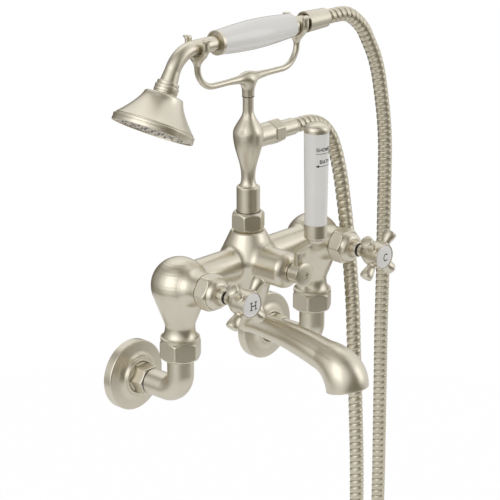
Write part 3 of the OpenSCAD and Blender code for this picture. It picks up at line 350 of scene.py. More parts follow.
def hose_material():
    """The plate of the hose, with painted shade mixed in where its strip tucks under the next turn."""
    mat = nickel("hose_nickel", (0.665, 0.618, 0.5), (0.605, 0.557, 0.44), 0.33, 0.02)
    tree = mat.node_tree
    bsdf = next(n for n in tree.nodes if n.type == "BSDF_PRINCIPLED")
    plate = bsdf.inputs["Base Color"].links[0].from_socket
    groove = tree.nodes.new("ShaderNodeAttribute")
    groove.attribute_name = "groove"
    mix = tree.nodes.new("ShaderNodeMix")
    mix.data_type = "RGBA"
    tree.links.new(groove.outputs["Fac"], mix.inputs["Factor"])
    tree.links.new(plate, mix.inputs["A"])
    # Painted shade in the grooves
    mix.inputs["B"].default_value = GROOVE_SHADE_COLOUR
    tree.links.new(mix.outputs["Result"], bsdf.inputs["Base Color"])
    return mat


def porcelain_material():
    """Glazed porcelain: a faintly clouded white under a clear coat."""
    mat, tree, bsdf = new_material("glazed_porcelain")
    cloud = noise(tree, 45.0, 3.0, 0.5)
    tree.links.new(ramp(tree, cloud, (0.25, (0.715, 0.70, 0.668)), (0.75, (0.75, 0.735, 0.703))),
                   bsdf.inputs["Base Color"])
    tree.links.new(span(tree, noise(tree, 260.0), 0.10, 0.17), bsdf.inputs["Roughness"])
    bsdf.inputs["Coat Weight"].default_value = 0.6
    bsdf.inputs["Coat Roughness"].default_value = 0.05
    bsdf.inputs["IOR"].default_value = 1.5
    bump(tree, bsdf, noise(tree, 90.0, 2.0), 0.04, 0.0004)
    return mat


def plain_dielectric(name, low, high, rough, scale):
    """A matt material whose colour, sheen and relief share one noise."""
    mat, tree, bsdf = new_material(name)
    fac = noise(tree, scale, 4.0, 0.6)
    tree.links.new(ramp(tree, fac, (0.3, low), (0.7, high)), bsdf.inputs["Base Color"])
    tree.links.new(span(tree, fac, rough - 0.06, rough + 0.06), bsdf.inputs["Roughness"])
    bump(tree, bsdf, fac, 0.08, GRAIN_DEPTH)
    return mat


NICKEL = nickel("satin_nickel", (0.71, 0.665, 0.56), (0.67, 0.622, 0.515), 0.31)
HOSE_METAL = hose_material()
PORCELAIN = porcelain_material()
CERAMIC = plain_dielectric("disc_ceramic", (0.72, 0.70, 0.65), (0.78, 0.76, 0.71), 0.3, 240.0)
# Black rubber for washers and seals; the same material is painted shade in the dark rings along shadowed gaps
# between pieces
RUBBER_AND_GAP_SHADE = plain_dielectric("black_rubber_and_gap_shade", (0.012, 0.012, 0.012), (0.022, 0.022, 0.022), 0.62, 420.0)
PIP_RUBBER = plain_dielectric("grey_rubber", (0.16, 0.155, 0.145), (0.22, 0.215, 0.2), 0.5, 500.0)
LETTERING = plain_dielectric("fired_lettering", (0.02, 0.02, 0.024), (0.04, 0.04, 0.045), 0.4, 700.0)


def paint(obj, mat):
    obj.data.materials.clear()
    obj.data.materials.append(mat)


def dress(obj, mat, body, replaces=()):
    """Give a piece its finish, its body and the CAD nodes that it stands for."""
    paint(obj, mat)
    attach(obj, body)
    if replaces:
        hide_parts(*replaces)


for name, obj in NODES.items():
    if "index" in name or name in ("lever_grip", "shower_handle"):
        paint(obj, PORCELAIN)
    elif "disc" in name:
        paint(obj, CERAMIC)
    elif "washer" in name or "seal" in name:
        paint(obj, RUBBER_AND_GAP_SHADE)
    else:
        paint(obj, NICKEL)

dress(hose_down, HOSE_METAL, "mixer", ("shower_hose",))
paint(hose_up, HOSE_METAL)
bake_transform(hose_up)
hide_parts("shower_hose")
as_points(path_up)


# Ways of making the finer meshes

# How far a fillet's edges run under the surfaces beside it, and how far it stands proud of the swept ball
TUCK, TUCK_RUN, PROUD = 0.15, 0.7, 0.02
# Halvings that find a fillet's ball, and the steps over which slopes are measured
HALVINGS, FILLET_PROBE, SKIN_PROBE = 40, 0.05, 0.04
SKIN_ROUNDS, SKIN_BATCH = 6, 200000


def lathe(name, profile, origin, axis, segments=96):
    """A turned piece from (radius, distance along the axis) pairs; radius 0 closes an end."""
    u, v, w = frame_of(axis)
    origin = np.array(origin, float)
    verts, rows = [], []
    for r, t in profile:
        if r < 1e-6:
            rows.append([len(verts)] * segments)
            verts.append(origin + w * t)
            continue
        rows.append(list(range(len(verts), len(verts) + segments)))
        for k in range(segments):
            a = 2 * math.pi * k / segments
            verts.append(origin + w * t + r * (u * math.cos(a) + v * math.sin(a)))
    faces = []
    for p, q in zip(rows, rows[1:]):
        for k in range(segments):
            m = (k + 1) % segments
            ring = [p[k], p[m], q[m], q[k]]
            ring = [x for i, x in enumerate(ring) if x not in ring[:i]]
            if len(ring) > 2:
                faces.append(ring)
    return soften(add_mesh(name, verts, faces))


def arc(centre, r, a0, a1, n=8):
    """Points on an arc, from angle a0 to a1 in degrees."""
    return [(centre[0] + r * math.cos(math.radians(a0 + (a1 - a0) * i / n)),
             centre[1] + r * math.sin(math.radians(a0 + (a1 - a0) * i / n))) for i in range(n + 1)]


def turned_distance(profile, cx, cy):
    """Signed distance to a body turned about an upright axis, from its outline as (radius, height)."""
    pts = np.array(profile, float)
    a, d = pts[:-1], np.diff(pts, axis=0)

    def distance(p):
        q = np.stack([np.hypot(p[:, 0] - cx, p[:, 1] - cy), p[:, 2]], 1)
        rel = q[:, None, :] - a[None]
        t = np.clip((rel * d[None]).sum(2) / (d * d).sum(1)[None], 0, 1)
        away = rel - t[..., None] * d[None]
        far = np.linalg.norm(away, axis=2)
        best = far.argmin(1)
        rows = np.arange(len(q))
        edge, off = d[best], away[rows, best]
        side = np.sign(edge[:, 1] * off[:, 0] - edge[:, 0] * off[:, 1])
        return far[rows, best] * side
    return distance


def ball_distance(centre, r):
    centre = np.array(centre, float)
    return lambda p: np.linalg.norm(p - centre, axis=1) - r


def fillet(name, origin, axis, radius, ball, distance, reach, around=96, steps=9):
    """A strip that a ball of that radius sweeps where a round bar leaves a body."""
    u, v, w = frame_of(axis)
    origin = np.array(origin, float)
    a = np.linspace(0, 2 * np.pi, around, endpoint=False)
    out = np.cos(a)[:, None] * u + np.sin(a)[:, None] * v
    low, high = np.full(around, reach[0], float), np.full(around, reach[1], float)
    for _ in range(HALVINGS):
        mid = (low + high) / 2
        c = origin + w * mid[:, None] + out * (radius + ball)
        inside = distance(c) < ball
        low, high = np.where(inside, mid, low), np.where(inside, high, mid)
    c = origin + w * ((low + high) / 2)[:, None] + out * (radius + ball)
    grad = np.stack([distance(c + e) - distance(c - e) for e in np.eye(3) * FILLET_PROBE], 1)
    grad /= np.linalg.norm(grad, axis=1)[:, None]
    angle = np.arccos(np.clip((out * grad).sum(1), -1, 1))[:, None]
    rows = [c - out * (ball + TUCK) + w * TUCK_RUN]
    for i in range(steps + 1):
        t = i / steps
        aim = (np.sin((1 - t) * angle) * out + np.sin(t * angle) * grad) / np.sin(angle)
        rows.append(c - aim * (ball - PROUD))
    along = out - grad * (out * grad).sum(1)[:, None]
    along /= np.linalg.norm(along, axis=1)[:, None]
    rows.append(c - grad * (ball + TUCK) + along * TUCK_RUN)
    verts = np.array(rows).reshape(-1, 3)
    return add_mesh(name, verts, grid_faces(len(rows), around))


def rounded_box(width, depth, r, n=4):
    """Outline of a rounded rectangle about the origin."""
    out = []
    for sx, sy, a0 in ((1, 1, 0), (-1, 1, 90), (-1, -1, 180), (1, -1, 270)):
        for i in range(n + 1):
            a = math.radians(a0 + 90 * i / n)
            out.append((sx * (width / 2 - r) + r * math.cos(a), sy * (depth / 2 - r) + r * math.sin(a)))
    return out


def rounded_path(points, radius, n):
    """A polyline with its corners rounded."""
    pts = [np.array(p, float) for p in points]
    out = [pts[0]]
    for a, b, c in zip(pts, pts[1:], pts[2:]):
        d0, d1 = unit(a - b), unit(c - b)
        half = math.acos(max(-1, min(1, float(d0 @ d1)))) / 2
        back = radius / math.tan(half)
        centre = b + unit(d0 + d1) * radius / math.sin(half)
        p, q = b + d0 * back - centre, b + d1 * back - centre
        turn = math.pi - 2 * half
        for i in range(n + 1):
            t = i / n
            out.append(centre + (math.sin((1 - t) * turn) * p + math.sin(t * turn) * q) / math.sin(turn))
    out.append(pts[-1])
    return np.array(out)


def sweep(name, points, sections, first_side):
    """A capped bar along points; sections gives the outline at each one, x along the first side."""
    n, b = carried_frames(np.array(points, float), first_side)
    verts = []
    for p, nn, bb, outline in zip(points, n, b, sections):
        verts += [p + x * nn + y * bb for x, y in outline]
    cols = len(sections[0])
    faces = grid_faces(len(points), cols)
    faces += [tuple(range(cols)), tuple(range(len(verts) - cols, len(verts)))]
    return soften(add_mesh(name, verts, faces))


def capsule(p, a, b, ra, rb, squeeze=(1, 1, 1)):
    """Distance to a rounded bar whose radius runs from ra to rb, in a space scaled by squeeze."""
    k = np.array(squeeze, float)
    a, b, q = np.array(a, float) * k, np.array(b, float) * k, p * k
    d = b - a
    t = np.clip(((q - a) @ d) / (d @ d), 0, 1)
    return np.linalg.norm(q - a - t[:, None] * d, axis=1) - (ra + (rb - ra) * t)


def smooth_least(a, b, k):
    """The lesser of two values, with a blend of width k where they meet."""
    h = np.clip(0.5 + 0.5 * (b - a) / k, 0, 1)
    return b + (a - b) * h - k * h * (1 - h)


def skin(name, distance, low, high, step):
    """Closed mesh of the surface at distance zero, drawn on a grid and settled onto the surface."""
    axes = [np.arange(l, h + step, step) for l, h in zip(low, high)]
    shape = [len(a) for a in axes]
    grid = np.stack(np.meshgrid(*axes, indexing="ij"), 3).reshape(-1, 3)
    batches = np.array_split(grid, max(1, len(grid) // SKIN_BATCH))
    inside = (np.concatenate([distance(c) for c in batches]) < 0).reshape(shape)
    corner = sum(inside[i:shape[0] - 1 + i, j:shape[1] - 1 + j, k:shape[2] - 1 + k].astype(int)
                 for i in (0, 1) for j in (0, 1) for k in (0, 1))
    cells = np.argwhere((corner > 0) & (corner < 8))
    number = np.full(corner.shape, -1)
    number[tuple(cells.T)] = np.arange(len(cells))
    verts = np.array(low) + (cells + 0.5) * step
    for _ in range(SKIN_ROUNDS):
        d = distance(verts)
        grad = np.stack([distance(verts + e) - distance(verts - e) for e in np.eye(3) * SKIN_PROBE], 1)
        move = 2 * SKIN_PROBE * d / np.maximum((grad ** 2).sum(1), 1e-6)
        verts = verts - np.clip(move[:, None] * grad, -step, step)
    faces = []
    for axis in range(3):
        o1, o2 = [k for k in range(3) if k != axis]
        lo = [slice(None)] * 3
        hi = [slice(None)] * 3
        lo[axis], hi[axis] = slice(0, -1), slice(1, None)
        for edge in np.argwhere(inside[tuple(lo)] != inside[tuple(hi)]):
            quad = []
            for s1, s2 in ((0, 0), (1, 0), (1, 1), (0, 1)):
                c = edge.copy()
                c[o1] -= s1
                c[o2] -= s2
                quad.append(int(number[tuple(c)]))
            faces.append(quad)
    return add_mesh(name, verts, faces)


HEX_POWER, CHAMFER_SLOPE, NUT_AROUND = 44, 1.16, 144
CHAMFER_STEPS = np.array([0, 0.12, 0.35, 0.7, 1.1, 1.5, 1.9, 2.3, 2.8])


def nut(name, across, ends, bore, origin, axis, turn, cut=0.25, round_off=0.5):
    """A hexagon between two distances along its axis, chamfered in a lathe and lightly rounded."""
    u, v, w = frame_of(axis)
    around, flat, (t0, t1) = NUT_AROUND, across / 2, ends
    theta = np.linspace(0, 2 * np.pi, around, endpoint=False)
    normals = math.radians(turn) + np.arange(6)[None] * math.pi / 3
    facing = np.maximum(0, np.cos(theta[:, None] - normals)) ** HEX_POWER
    hexagon = flat / facing.sum(1) ** (1 / HEX_POWER)
    at = np.concatenate([t0 + CHAMFER_STEPS, np.linspace(t0 + 3.6, t1 - 3.6, 5), (t1 - CHAMFER_STEPS)[::-1]])
    cones = [flat - cut + CHAMFER_SLOPE * min(t - t0, t1 - t) for t in at]
    hole = np.full(around, bore)
    rows = [hole] + [smooth_least(hexagon, cone, round_off) for cone in cones] + [hole]
    at = np.concatenate([[t0], at, [t1]])
    out = np.cos(theta)[:, None] * u + np.sin(theta)[:, None] * v
    verts = np.concatenate([np.array(origin, float) + w * t + out * r[:, None] for t, r in zip(at, rows)])
    last = (len(at) - 1) * around
    faces = grid_faces(len(at), around)
    faces += [(k + last, (k + 1) % around + last, (k + 1) % around, k) for k in range(around)]
    return soften(add_mesh(name, verts, faces), 30)


def seam(name, r, ends, origin, axis):
    """A thin dark ring of painted shade, for the shadowed line between two seated pieces."""
    t0, t1 = ends
    half = (t1 - t0) / 2
    rim = arc((r - half, (t0 + t1) / 2), half, 270, 450, 6)
    return lathe(name, [(r - 1.2, t0), (r - half, t0)] + rim[1:] + [(r - 1.2, t1)], origin, axis, 72)


# Cast fillets where the bars leave the centre body and the tap bodies

CROSSBAR_R, BULB_R, BULB_DROP = 15.0, 26.0, 2.5
FILLET_REACH, SPOUT_REACH = (8, 60), (1, 60)
CENTRE_PROFILE = (arc((0, 45), 11, 270, 346.43, 10) + arc((13, 108), 14, -15, 25, 10)
                  + [(16.6, 133.5), (15.6, 134.5), (0, 134.5)])
centre_distance = turned_distance(CENTRE_PROFILE, 0, -REACH)
casting_fillets = [
    ("diverter_barrel_fillet", CENTRE, FRONT, 17.0, 9.0, centre_distance, FILLET_REACH),
    ("spout_root_fillet", (0, -REACH, 45), FRONT, 10.4, 9.0, centre_distance, SPOUT_REACH),
]
for side, s in SIDES.items():
    tap = (s * PITCH / 2, -REACH, VALVE_Z)
    bulb = ball_distance((s * PITCH / 2, -REACH, VALVE_Z - BULB_DROP), BULB_R)
    casting_fillets += [
        (side + "_crossbar_centre_fillet", CENTRE, (s, 0, 0), CROSSBAR_R, 8.0, centre_distance, FILLET_REACH),
        (side + "_crossbar_bulb_fillet", tap, (-s, 0, 0), CROSSBAR_R, 6.0, bulb, FILLET_REACH),
        (side + "_valve_boss_fillet", tap, FRONT, 15.7, 16.0, bulb, FILLET_REACH),
    ]
for spec in casting_fillets:
    dress(fillet(*spec), NICKEL, "mixer")


# Spout, flaring towards its mouth

SPOUT_SEAT, SPOUT_Z, SPOUT_WALL, SPOUT_TURN, SPOUT_FALL, SPOUT_BEND = 81.0, 45.0, 2.2, 77.0, 7.0, 33.0
SPOUT_ROOT_R, OUTLET_R, OUTLET_D, OUTLET_Z = 10.0, 19.6, 190.0, 10.0
SPOUT_BULGE, SPOUT_FLARE, SPOUT_LIP = 1.8, 0.95, 0.8
SPOUT_AROUND, SPOUT_STEPS, LIP_STEPS = 72, 60, 5
bend_d = OUTLET_D - SPOUT_BEND * math.sin(math.radians(SPOUT_TURN))
bend_z = OUTLET_Z - SPOUT_BEND * math.cos(math.radians(SPOUT_TURN))


def spout_swell(a):
    """Extra radius of the spout's shoulder at a heading."""
    share = max(0.0, (a - SPOUT_FALL) / (SPOUT_TURN - SPOUT_FALL))
    return SPOUT_BULGE * math.sin(math.pi * share ** 1.4)


def spout_line(t):
    """Distance from the wall, height and heading below level at a share of the spout's run."""
    def bend(a):
        r = SPOUT_BEND + spout_swell(a)
        return (bend_d + r * math.sin(math.radians(a)), bend_z + r * math.cos(math.radians(a)), a)
    start = bend(SPOUT_FALL)
    if t <= 0.5:
        s = 2 * t
        return (SPOUT_SEAT + (start[0] - SPOUT_SEAT) * s,
                SPOUT_Z + (start[1] - SPOUT_Z) * s * s,
                SPOUT_FALL * s)
    return bend(SPOUT_FALL + (SPOUT_TURN - SPOUT_FALL) * (2 * t - 1))


def spout_ring(t, inset, along=0.0):
    """A ring of points, inset from the outside and moved along the run; the outside widens at the root."""
    d, z, a = spout_line(t)
    r = SPOUT_ROOT_R + (OUTLET_R - SPOUT_ROOT_R) * max(t, 0) ** SPOUT_FLARE + spout_swell(a) - inset
    a = math.radians(a)
    if inset == 0:
        r += 0.42 * max(0.0, 1 - t / 0.2) ** 2
    d, z = d + along * math.cos(a), z - along * math.sin(a)
    return [(r * math.cos(k), -d - r * math.sin(k) * math.sin(a), z + r * math.sin(k) * math.cos(a))
            for k in np.linspace(0, 2 * math.pi, SPOUT_AROUND, endpoint=False)]


lip = [(SPOUT_LIP * (1 - math.cos(q)), SPOUT_LIP * (math.sin(q) - 1))
       for q in np.linspace(0, math.pi / 2, LIP_STEPS)]
spout_rows = [spout_ring(i / SPOUT_STEPS, 0) for i in range(SPOUT_STEPS)]
spout_rows += [spout_ring(1, inset, along) for inset, along in lip]
spout_rows += [spout_ring(1, SPOUT_WALL - inset, along) for inset, along in lip[::-1]]
spout_rows += [spout_ring(i / SPOUT_STEPS, SPOUT_WALL) for i in range(SPOUT_STEPS - 2, -1, -2)]
spout = add_mesh("spout_tube", [p for row in spout_rows for p in row],
                 grid_faces(len(spout_rows), SPOUT_AROUND))
dress(spout, NICKEL, "mixer", ("spout",))


# Dark rings of painted shade in the shadowed gaps behind the cross handles

GLAND_GAP_SHADE = [(4.6, 125.7)] + arc((5.7, 126.2), 0.5, 270, 450, 10) + [(4.6, 126.7)]
for side, s in SIDES.items():
    ring = lathe(side + "_gland_gap_shade", GLAND_GAP_SHADE, (s * PITCH / 2, 0, VALVE_Z), FRONT, 64)
    dress(ring, RUBBER_AND_GAP_SHADE, "mixer")


# Cross handles: flared stem, hub with a rounded rim and four fat lobes. HUB's distances are from the wall,
# and LOBE's from the hub's axis.

HUB_R, LOBE_D, LOBE_ROOT_R, LOBE_SWELL = 12.2, 148.5, 3.96, 2.04
HUB = ([(4.6, 127.0), (5.2, 127.0)] + arc((5.2, 127.6), 0.6, 270, 360, 4)[1:]
       + [(5.8 + 5.9 * (1 - math.cos(math.pi * t)) / 2, 129.1 + 12.6 * t) for t in np.linspace(0, 1, 16)]
       + arc((11.5, 143.0), 0.7, 315, 360, 4) + [(HUB_R, 155.6)] + arc((11.75, 155.9), 0.45, 0, 180, 8)
       + [(11.3, 154.0)])
LOBE = ([(LOBE_ROOT_R, 8.0)]
        + [(LOBE_ROOT_R + LOBE_SWELL * (1 - math.cos(math.pi * t)) / 2, 12.3 + 10.9 * t)
           for t in np.linspace(0, 1, 14)]
        + arc((4.5, 24.2), 1.5, 0, 72, 7) + [(2.6, 26.2), (0.0, 26.5)])


def cross_handle(side, s):
    base = np.array((s * PITCH / 2, 0, VALVE_Z))
    parts = [lathe(side + "_cross_handle_turned", HUB, base, FRONT, 96)]
    centre = base + np.array((0, -LOBE_D, 0))

    def barrel(p):
        return np.hypot(p[:, 0] - centre[0], p[:, 2] - centre[2]) - HUB_R

    for k in range(4):
        turn = math.radians(45 + 90 * k)
        axis = (math.cos(turn), 0, math.sin(turn))
        parts.append(lathe(f"{side}_lobe_{k}", LOBE, centre, axis, 48))
        parts.append(fillet(f"{side}_lobe_root_{k}", centre, axis, 3.98, 1.4, barrel, (4, 20), 40, 5))
    return joined(parts)


for side, s in SIDES.items():
    dress(cross_handle(side, s), NICKEL, side + "_tap", (side + "_cross_handle",))


# Diverter lever: turned boss and disc, and a flat bar bent forward to the grip

LEVER_D, GRIP_D = 129.25, 149.65
AT_GRIP = (0, -GRIP_D, 0)
BOSS = ([(5.1, 123.2), (8.6, 123.2)] + arc((8.6, 123.8), 0.6, 270, 360, 4)[1:]
        + [(9.2, 134.2), (10.9, 134.7)] + arc((10.9, 135.4), 0.7, 270, 360, 5) + [(11.6, 136.3)]
        + [(11.6 * math.cos(a), 136.7 + 1.6 * math.sin(a)) for a in np.linspace(0.12, 1.2, 10)]
        + [(3.75, 138.24), (3.75, 134.2)])
PAD = [(0.0, 139.6), (4.0, 139.8), (6.6, 140.8), (8.0, 142.6), (8.3, 144.6), (8.3, 145.2), (0, 145.2)]
POST = [(3.0, 145.2), (3.0, 247.4), (0.0, 247.9)]
BAR_LINE = [(0, -LEVER_D, VALVE_Z + 4), (0, -LEVER_D, 128.6), (0, -GRIP_D + 1.2, 143.2)]
bar_path = rounded_path(BAR_LINE, 7.0, 14)
dress(joined([lathe("lever_boss", BOSS, (0, 0, VALVE_Z), FRONT, 96),
              sweep("lever_bar", bar_path, [rounded_box(8.2, 5.5, 1.5)] * len(bar_path), RIGHT),
              lathe("lever_pad", PAD, AT_GRIP, UP, 64),
              lathe("lever_post", POST, AT_GRIP, UP, 32)]), NICKEL, "diverter", ("lever_arm",))


# Cradle: one cast bar that swells at its middle and carries a forked crook at each end

CRADLE_Z, COLUMN_TOP = 278.55, 261.05
CROOK_X, CROOK_BEND, CROOK_Z, CROOK_R, TIP_Z = 65.0, 20.0, 317.95, 10.9, 326.05
ARM_R, ARM_SWELL_X, PRONG_R = 2.8, 26, 2.5
CRADLE_LOW, CRADLE_HIGH, CRADLE_STEP = (-72, -REACH - 18, 259), (72, -REACH + 18, 328), 0.62


def cradle_distance(p):
    """Distance to the cradle, worked out for one quarter of it."""
    q = p - np.array(COLUMN)
    q = np.stack([np.abs(q[:, 0]), np.abs(q[:, 1]), q[:, 2]], 1)
    bend_x = CROOK_X - CROOK_BEND
    arm = capsule(q, (0, 0, CRADLE_Z - 0.4), (ARM_SWELL_X, 0, CRADLE_Z), 4.6, ARM_R)
    arm = np.minimum(arm, capsule(q, (ARM_SWELL_X, 0, CRADLE_Z), (bend_x, 0, CRADLE_Z), ARM_R, ARM_R))
    bend = [(bend_x + CROOK_BEND * math.sin(a), 0, CRADLE_Z + CROOK_BEND * (1 - math.cos(a)))
            for a in np.linspace(0, math.pi / 2, 13)]
    for a, b in zip(bend, bend[1:]):
        arm = np.minimum(arm, capsule(q, a, b, ARM_R, ARM_R))
    foot = (CROOK_X, 0, CROOK_Z - CROOK_R - 1.5)
    arm = np.minimum(arm, capsule(q, bend[-1], foot, ARM_R, 3.0))
    ring = [(CROOK_X, CROOK_R * math.sin(a), CROOK_Z - CROOK_R * math.cos(a))
            for a in np.linspace(0, math.pi / 2, 10)]
    ring.append((CROOK_X, CROOK_R, TIP_Z - 2.2))
    wide = np.full(len(q), 99.0)
    for a, b in zip(ring, ring[1:]):
        wide = np.minimum(wide, capsule(q, a, b, PRONG_R, PRONG_R, (0.7, 1, 1)))
    tip = capsule(q, (CROOK_X, CROOK_R + 0.3, TIP_Z - 1.3), (CROOK_X, CROOK_R + 4.6, TIP_Z - 1.0),
                  1.3, 0.95, (0.4, 1, 1))
    wide = smooth_least(wide, tip, 1.2)
    bore = np.hypot(q[:, 1], q[:, 2] - CROOK_Z) - (CROOK_R - PRONG_R)
    out = np.maximum(smooth_least(arm, wide, 7.0), np.where(np.abs(q[:, 0] - CROOK_X) < 9, -bore, -99))
    socket = capsule(q, (0, 0, COLUMN_TOP - 6), (0, 0, CRADLE_Z - 3), 5.4, 5.9)
    socket = np.maximum(socket, COLUMN_TOP + 0.1 - q[:, 2])
    return smooth_least(out, socket, 9.0)


cradle = skin("cradle_casting", cradle_distance, CRADLE_LOW, CRADLE_HIGH, CRADLE_STEP)
dress(cradle, NICKEL, "mixer", ("cradle",))


# Nuts with rounded corners and turned chamfers, and dark rings of painted shade for the shadowed lines
# between seated pieces

AT_PORT = (0, -REACH, PORT_Z)
dress(nut("column_nut_hex", 27.6, (134.55, 152.55), 10.9, COLUMN, UP, 30, 0.9, 1.4),
      NICKEL, "mixer", ("column_nut",))
dress(nut("hose_nut_hex", 20.6, (26.7, 41.7), 6.6, AT_PORT, RIGHT, 0, 0.8, 1.3),
      NICKEL, "mixer", ("hose_nut",))
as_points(path_down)
# Thin dark rings of painted shade along the lines between seated pieces
for spec in (("cradle_seam", 5.75, (260.7, 261.3), COLUMN, UP),
             ("column_nut_seam", 11.45, (152.3, 152.9), COLUMN, UP),
             ("centre_seam", 12.9, (134.3, 134.8), COLUMN, UP),
             ("hose_nut_seam", 9.7, (26.3, 26.9), AT_PORT, RIGHT)):
    dress(seam(*spec), RUBBER_AND_GAP_SHADE, "mixer")

# Outlines about each inlet and each valve, as (radius, distance from the wall)
TAIL_R, THREAD_DEPTH, THREAD_STEP = 10.48, 0.75, 1.1
TAIL = ([(9.0, 8.8)]
        + [(TAIL_R - THREAD_DEPTH * (k % 2), -19.6 + THREAD_STEP * k) for k in range(20, -1, -1)]
        + [(9.0, -20.0), (7.0, -20.0), (7.0, 8.0)])
SKIRT = [(11.6, 8.0), (14.3, 8.0), (14.3, 14.3)] + arc((13.9, 14.3), 0.4, 0, 90, 4) + [(11.6, 14.8)]
# A dark ring of painted shade in the shadowed gap where the elbow starts
ELBOW_GAP_SHADE = [(9.2, 29.0), (11.6, 29.0)] + arc((11.2, 29.75), 0.75, 270, 450, 8) + [(9.2, 30.5)]
DOME = ([(12.0, 111.0), (14.2, 112.2)]
        + [(8.4 + 5.8 * math.cos(a), 112.6 + 6.9 * math.sin(a)) for a in np.linspace(0.05, math.pi / 2, 14)]
        + [(5.4, 119.5)])
for side, s in SIDES.items():
    dress(nut(side + "_union_hex", 34.0, (33.5, 51.5), 12.4, (s * PITCH / 2, -REACH, 0), UP, 30),
          NICKEL, "mixer", (side + "_union_nut",))
    inlet, valve = (s * PITCH / 2, 0, 0), (s * PITCH / 2, 0, VALVE_Z)
    dress(joined([nut(side + "_wall_hex", 25.0, (3.0, 29.0), 9.0, inlet, FRONT, 30),
                  lathe(side + "_wall_tail", TAIL, inlet, FRONT, 72)]),
          NICKEL, "mixer", (side + "_wall_nut",))
    dress(lathe(side + "_flange_skirt", SKIRT, inlet, FRONT, 96), NICKEL, "mixer")
    dress(lathe(side + "_elbow_gap_shade", ELBOW_GAP_SHADE, inlet, FRONT, 72), RUBBER_AND_GAP_SHADE, "mixer")
    dress(joined([nut(side + "_bonnet_hex", 30.0, (99.5, 113.4), 11.0, valve, FRONT, 30),
                  lathe(side + "_bonnet_dome", DOME, valve, FRONT, 96)]),
          NICKEL, "mixer", (side + "_bonnet",))


# Rose: bell with a grooved rim band, a ringed nut and soft nozzle pips

ROSE_AT, ROSE_AXIS, ROSE_TILT = (-100.57, -67.0, 292.13), (-0.4617, 0, -0.887), math.radians(27.5)
BELL = ([(8.4, 9.0), (10.4, 9.0), (10.6, 9.2), (10.6, 10.4), (11.0, 10.7), (15.2, 11.4)]
        + arc((15.4, 13.8), 2.4, 275, 330, 6)
        + [(17.8 + 17.6 * t ** 1.35, 13.4 + 24.6 * t) for t in np.linspace(0.02, 1, 18)]
        + [(35.1, 38.4), (35.1, 38.8), (36.2, 39.1)] + arc((36.2, 39.9), 0.8, 300, 360, 4)
        + [(37.0, 41.5), (36.45, 41.8), (36.45, 42.2), (37.0, 42.5), (37.0, 44.8)]
        + arc((36.3, 44.9), 0.7, 0, 90, 5) + [(35.6, 45.6), (35.35, 45.3), (35.35, 42.4)])
RINGED = ([(8.2, 0.0), (9.5, 0.0)] + arc((9.5, 0.4), 0.4, 270, 360, 3) + [(9.9, 2.6), (9.4, 2.9), (9.4, 3.3)]
          + arc((10.4, 3.8), 0.4, 270, 360, 3) + [(10.8, 5.7), (10.3, 6.0), (10.3, 6.4), (10.8, 6.7)]
          + arc((10.4, 8.6), 0.4, 0, 90, 3) + [(8.2, 9.0)])
PIP = [(1.0, 43.0), (1.0, 44.8), (0.85, 45.2), (0.5, 45.4), (0.45, 44.9), (0.0, 44.9)]
PIP_RINGS = ((0, 1), (9, 8), (18, 14), (27, 20))
dress(lathe("rose_bell", BELL, ROSE_AT, ROSE_AXIS, 120), NICKEL, "handset", ("rose",))
dress(lathe("rose_nut_rings", RINGED, ROSE_AT, ROSE_AXIS, 96), NICKEL, "handset", ("rose_nut",))
# The plate's holes start on the side that faces along the turned X axis
pip_across = np.array((-math.cos(ROSE_TILT), 0, math.sin(ROSE_TILT)))
pip_other = np.cross(frame_of(ROSE_AXIS)[2], pip_across)
pips = []
for radius, count in PIP_RINGS:
    for k in range(count):
        turn = 2 * math.pi * k / count
        at = np.array(ROSE_AT) + radius * (pip_across * math.cos(turn) + pip_other * math.sin(turn))
        pips.append(lathe("pip", PIP, at, ROSE_AXIS, 12))
nozzles = joined(pips)
nozzles.name = "nozzle_pips"
dress(nozzles, PIP_RUBBER, "handset")


# Fired lettering: generic words only

def bow(cx, cy, rx, ry, a0, a1, n):
    """A curved stroke of n points, from angle a0 to a1."""
    return [(cx + rx * math.cos(a), cy + ry * math.sin(a)) for a in np.linspace(a0, a1, n)]


GLYPHS = {
    "H": [[(0, 0), (0, 1)], [(1, 0), (1, 1)], [(0, 0.5), (1, 0.5)]],
    "C": [bow(0.5, 0.5, 0.5, 0.5, 0.75, 2 * math.pi - 0.75, 17)],
    "S": [bow(0.5, 0.75, 0.46, 0.25, 0.5, 1.5 * math.pi, 10)
          + bow(0.5, 0.25, 0.48, 0.25, 0.5 * math.pi, -0.85 * math.pi, 11)[1:]],
    "O": [bow(0.5, 0.5, 0.52, 0.5, 0, 2 * math.pi, 21)],
    "W": [[(-0.1, 1), (0.22, 0), (0.5, 0.9), (0.78, 0), (1.1, 1)]],
    "E": [[(1, 1), (0, 1), (0, 0), (1, 0)], [(0, 0.52), (0.8, 0.52)]],
    "R": [[(0, 0), (0, 1), (0.6, 1), (0.9, 0.88), (0.95, 0.74), (0.88, 0.6), (0.6, 0.5), (0, 0.5)],
          [(0.5, 0.5), (1, 0)]],
    "B": [[(0, 0), (0, 1), (0.6, 1), (0.88, 0.88), (0.9, 0.74), (0.85, 0.6), (0.6, 0.52), (0, 0.52)],
          [(0.6, 0.52), (0.9, 0.42), (1, 0.26), (0.9, 0.08), (0.6, 0), (0, 0)]],
    "A": [[(0, 0), (0.5, 1), (1, 0)], [(0.2, 0.36), (0.8, 0.36)]],
    "T": [[(0, 1), (1, 1)], [(0.5, 0), (0.5, 1)]],
}
# Height of the strokes above the glaze, and their depth below it
RAISED, SUNK = 0.09, 0.12


def word_strokes(word, width, height, gap, centre):
    """Stroke polylines of a word, in millimetres about its centre."""
    left = centre[0] - (len(word) * width + (len(word) - 1) * gap) / 2
    return [[(left + i * (width + gap) + x * width, centre[1] + (y - 0.5) * height) for x, y in stroke]
            for i, letter in enumerate(word) for stroke in GLYPHS[letter]]


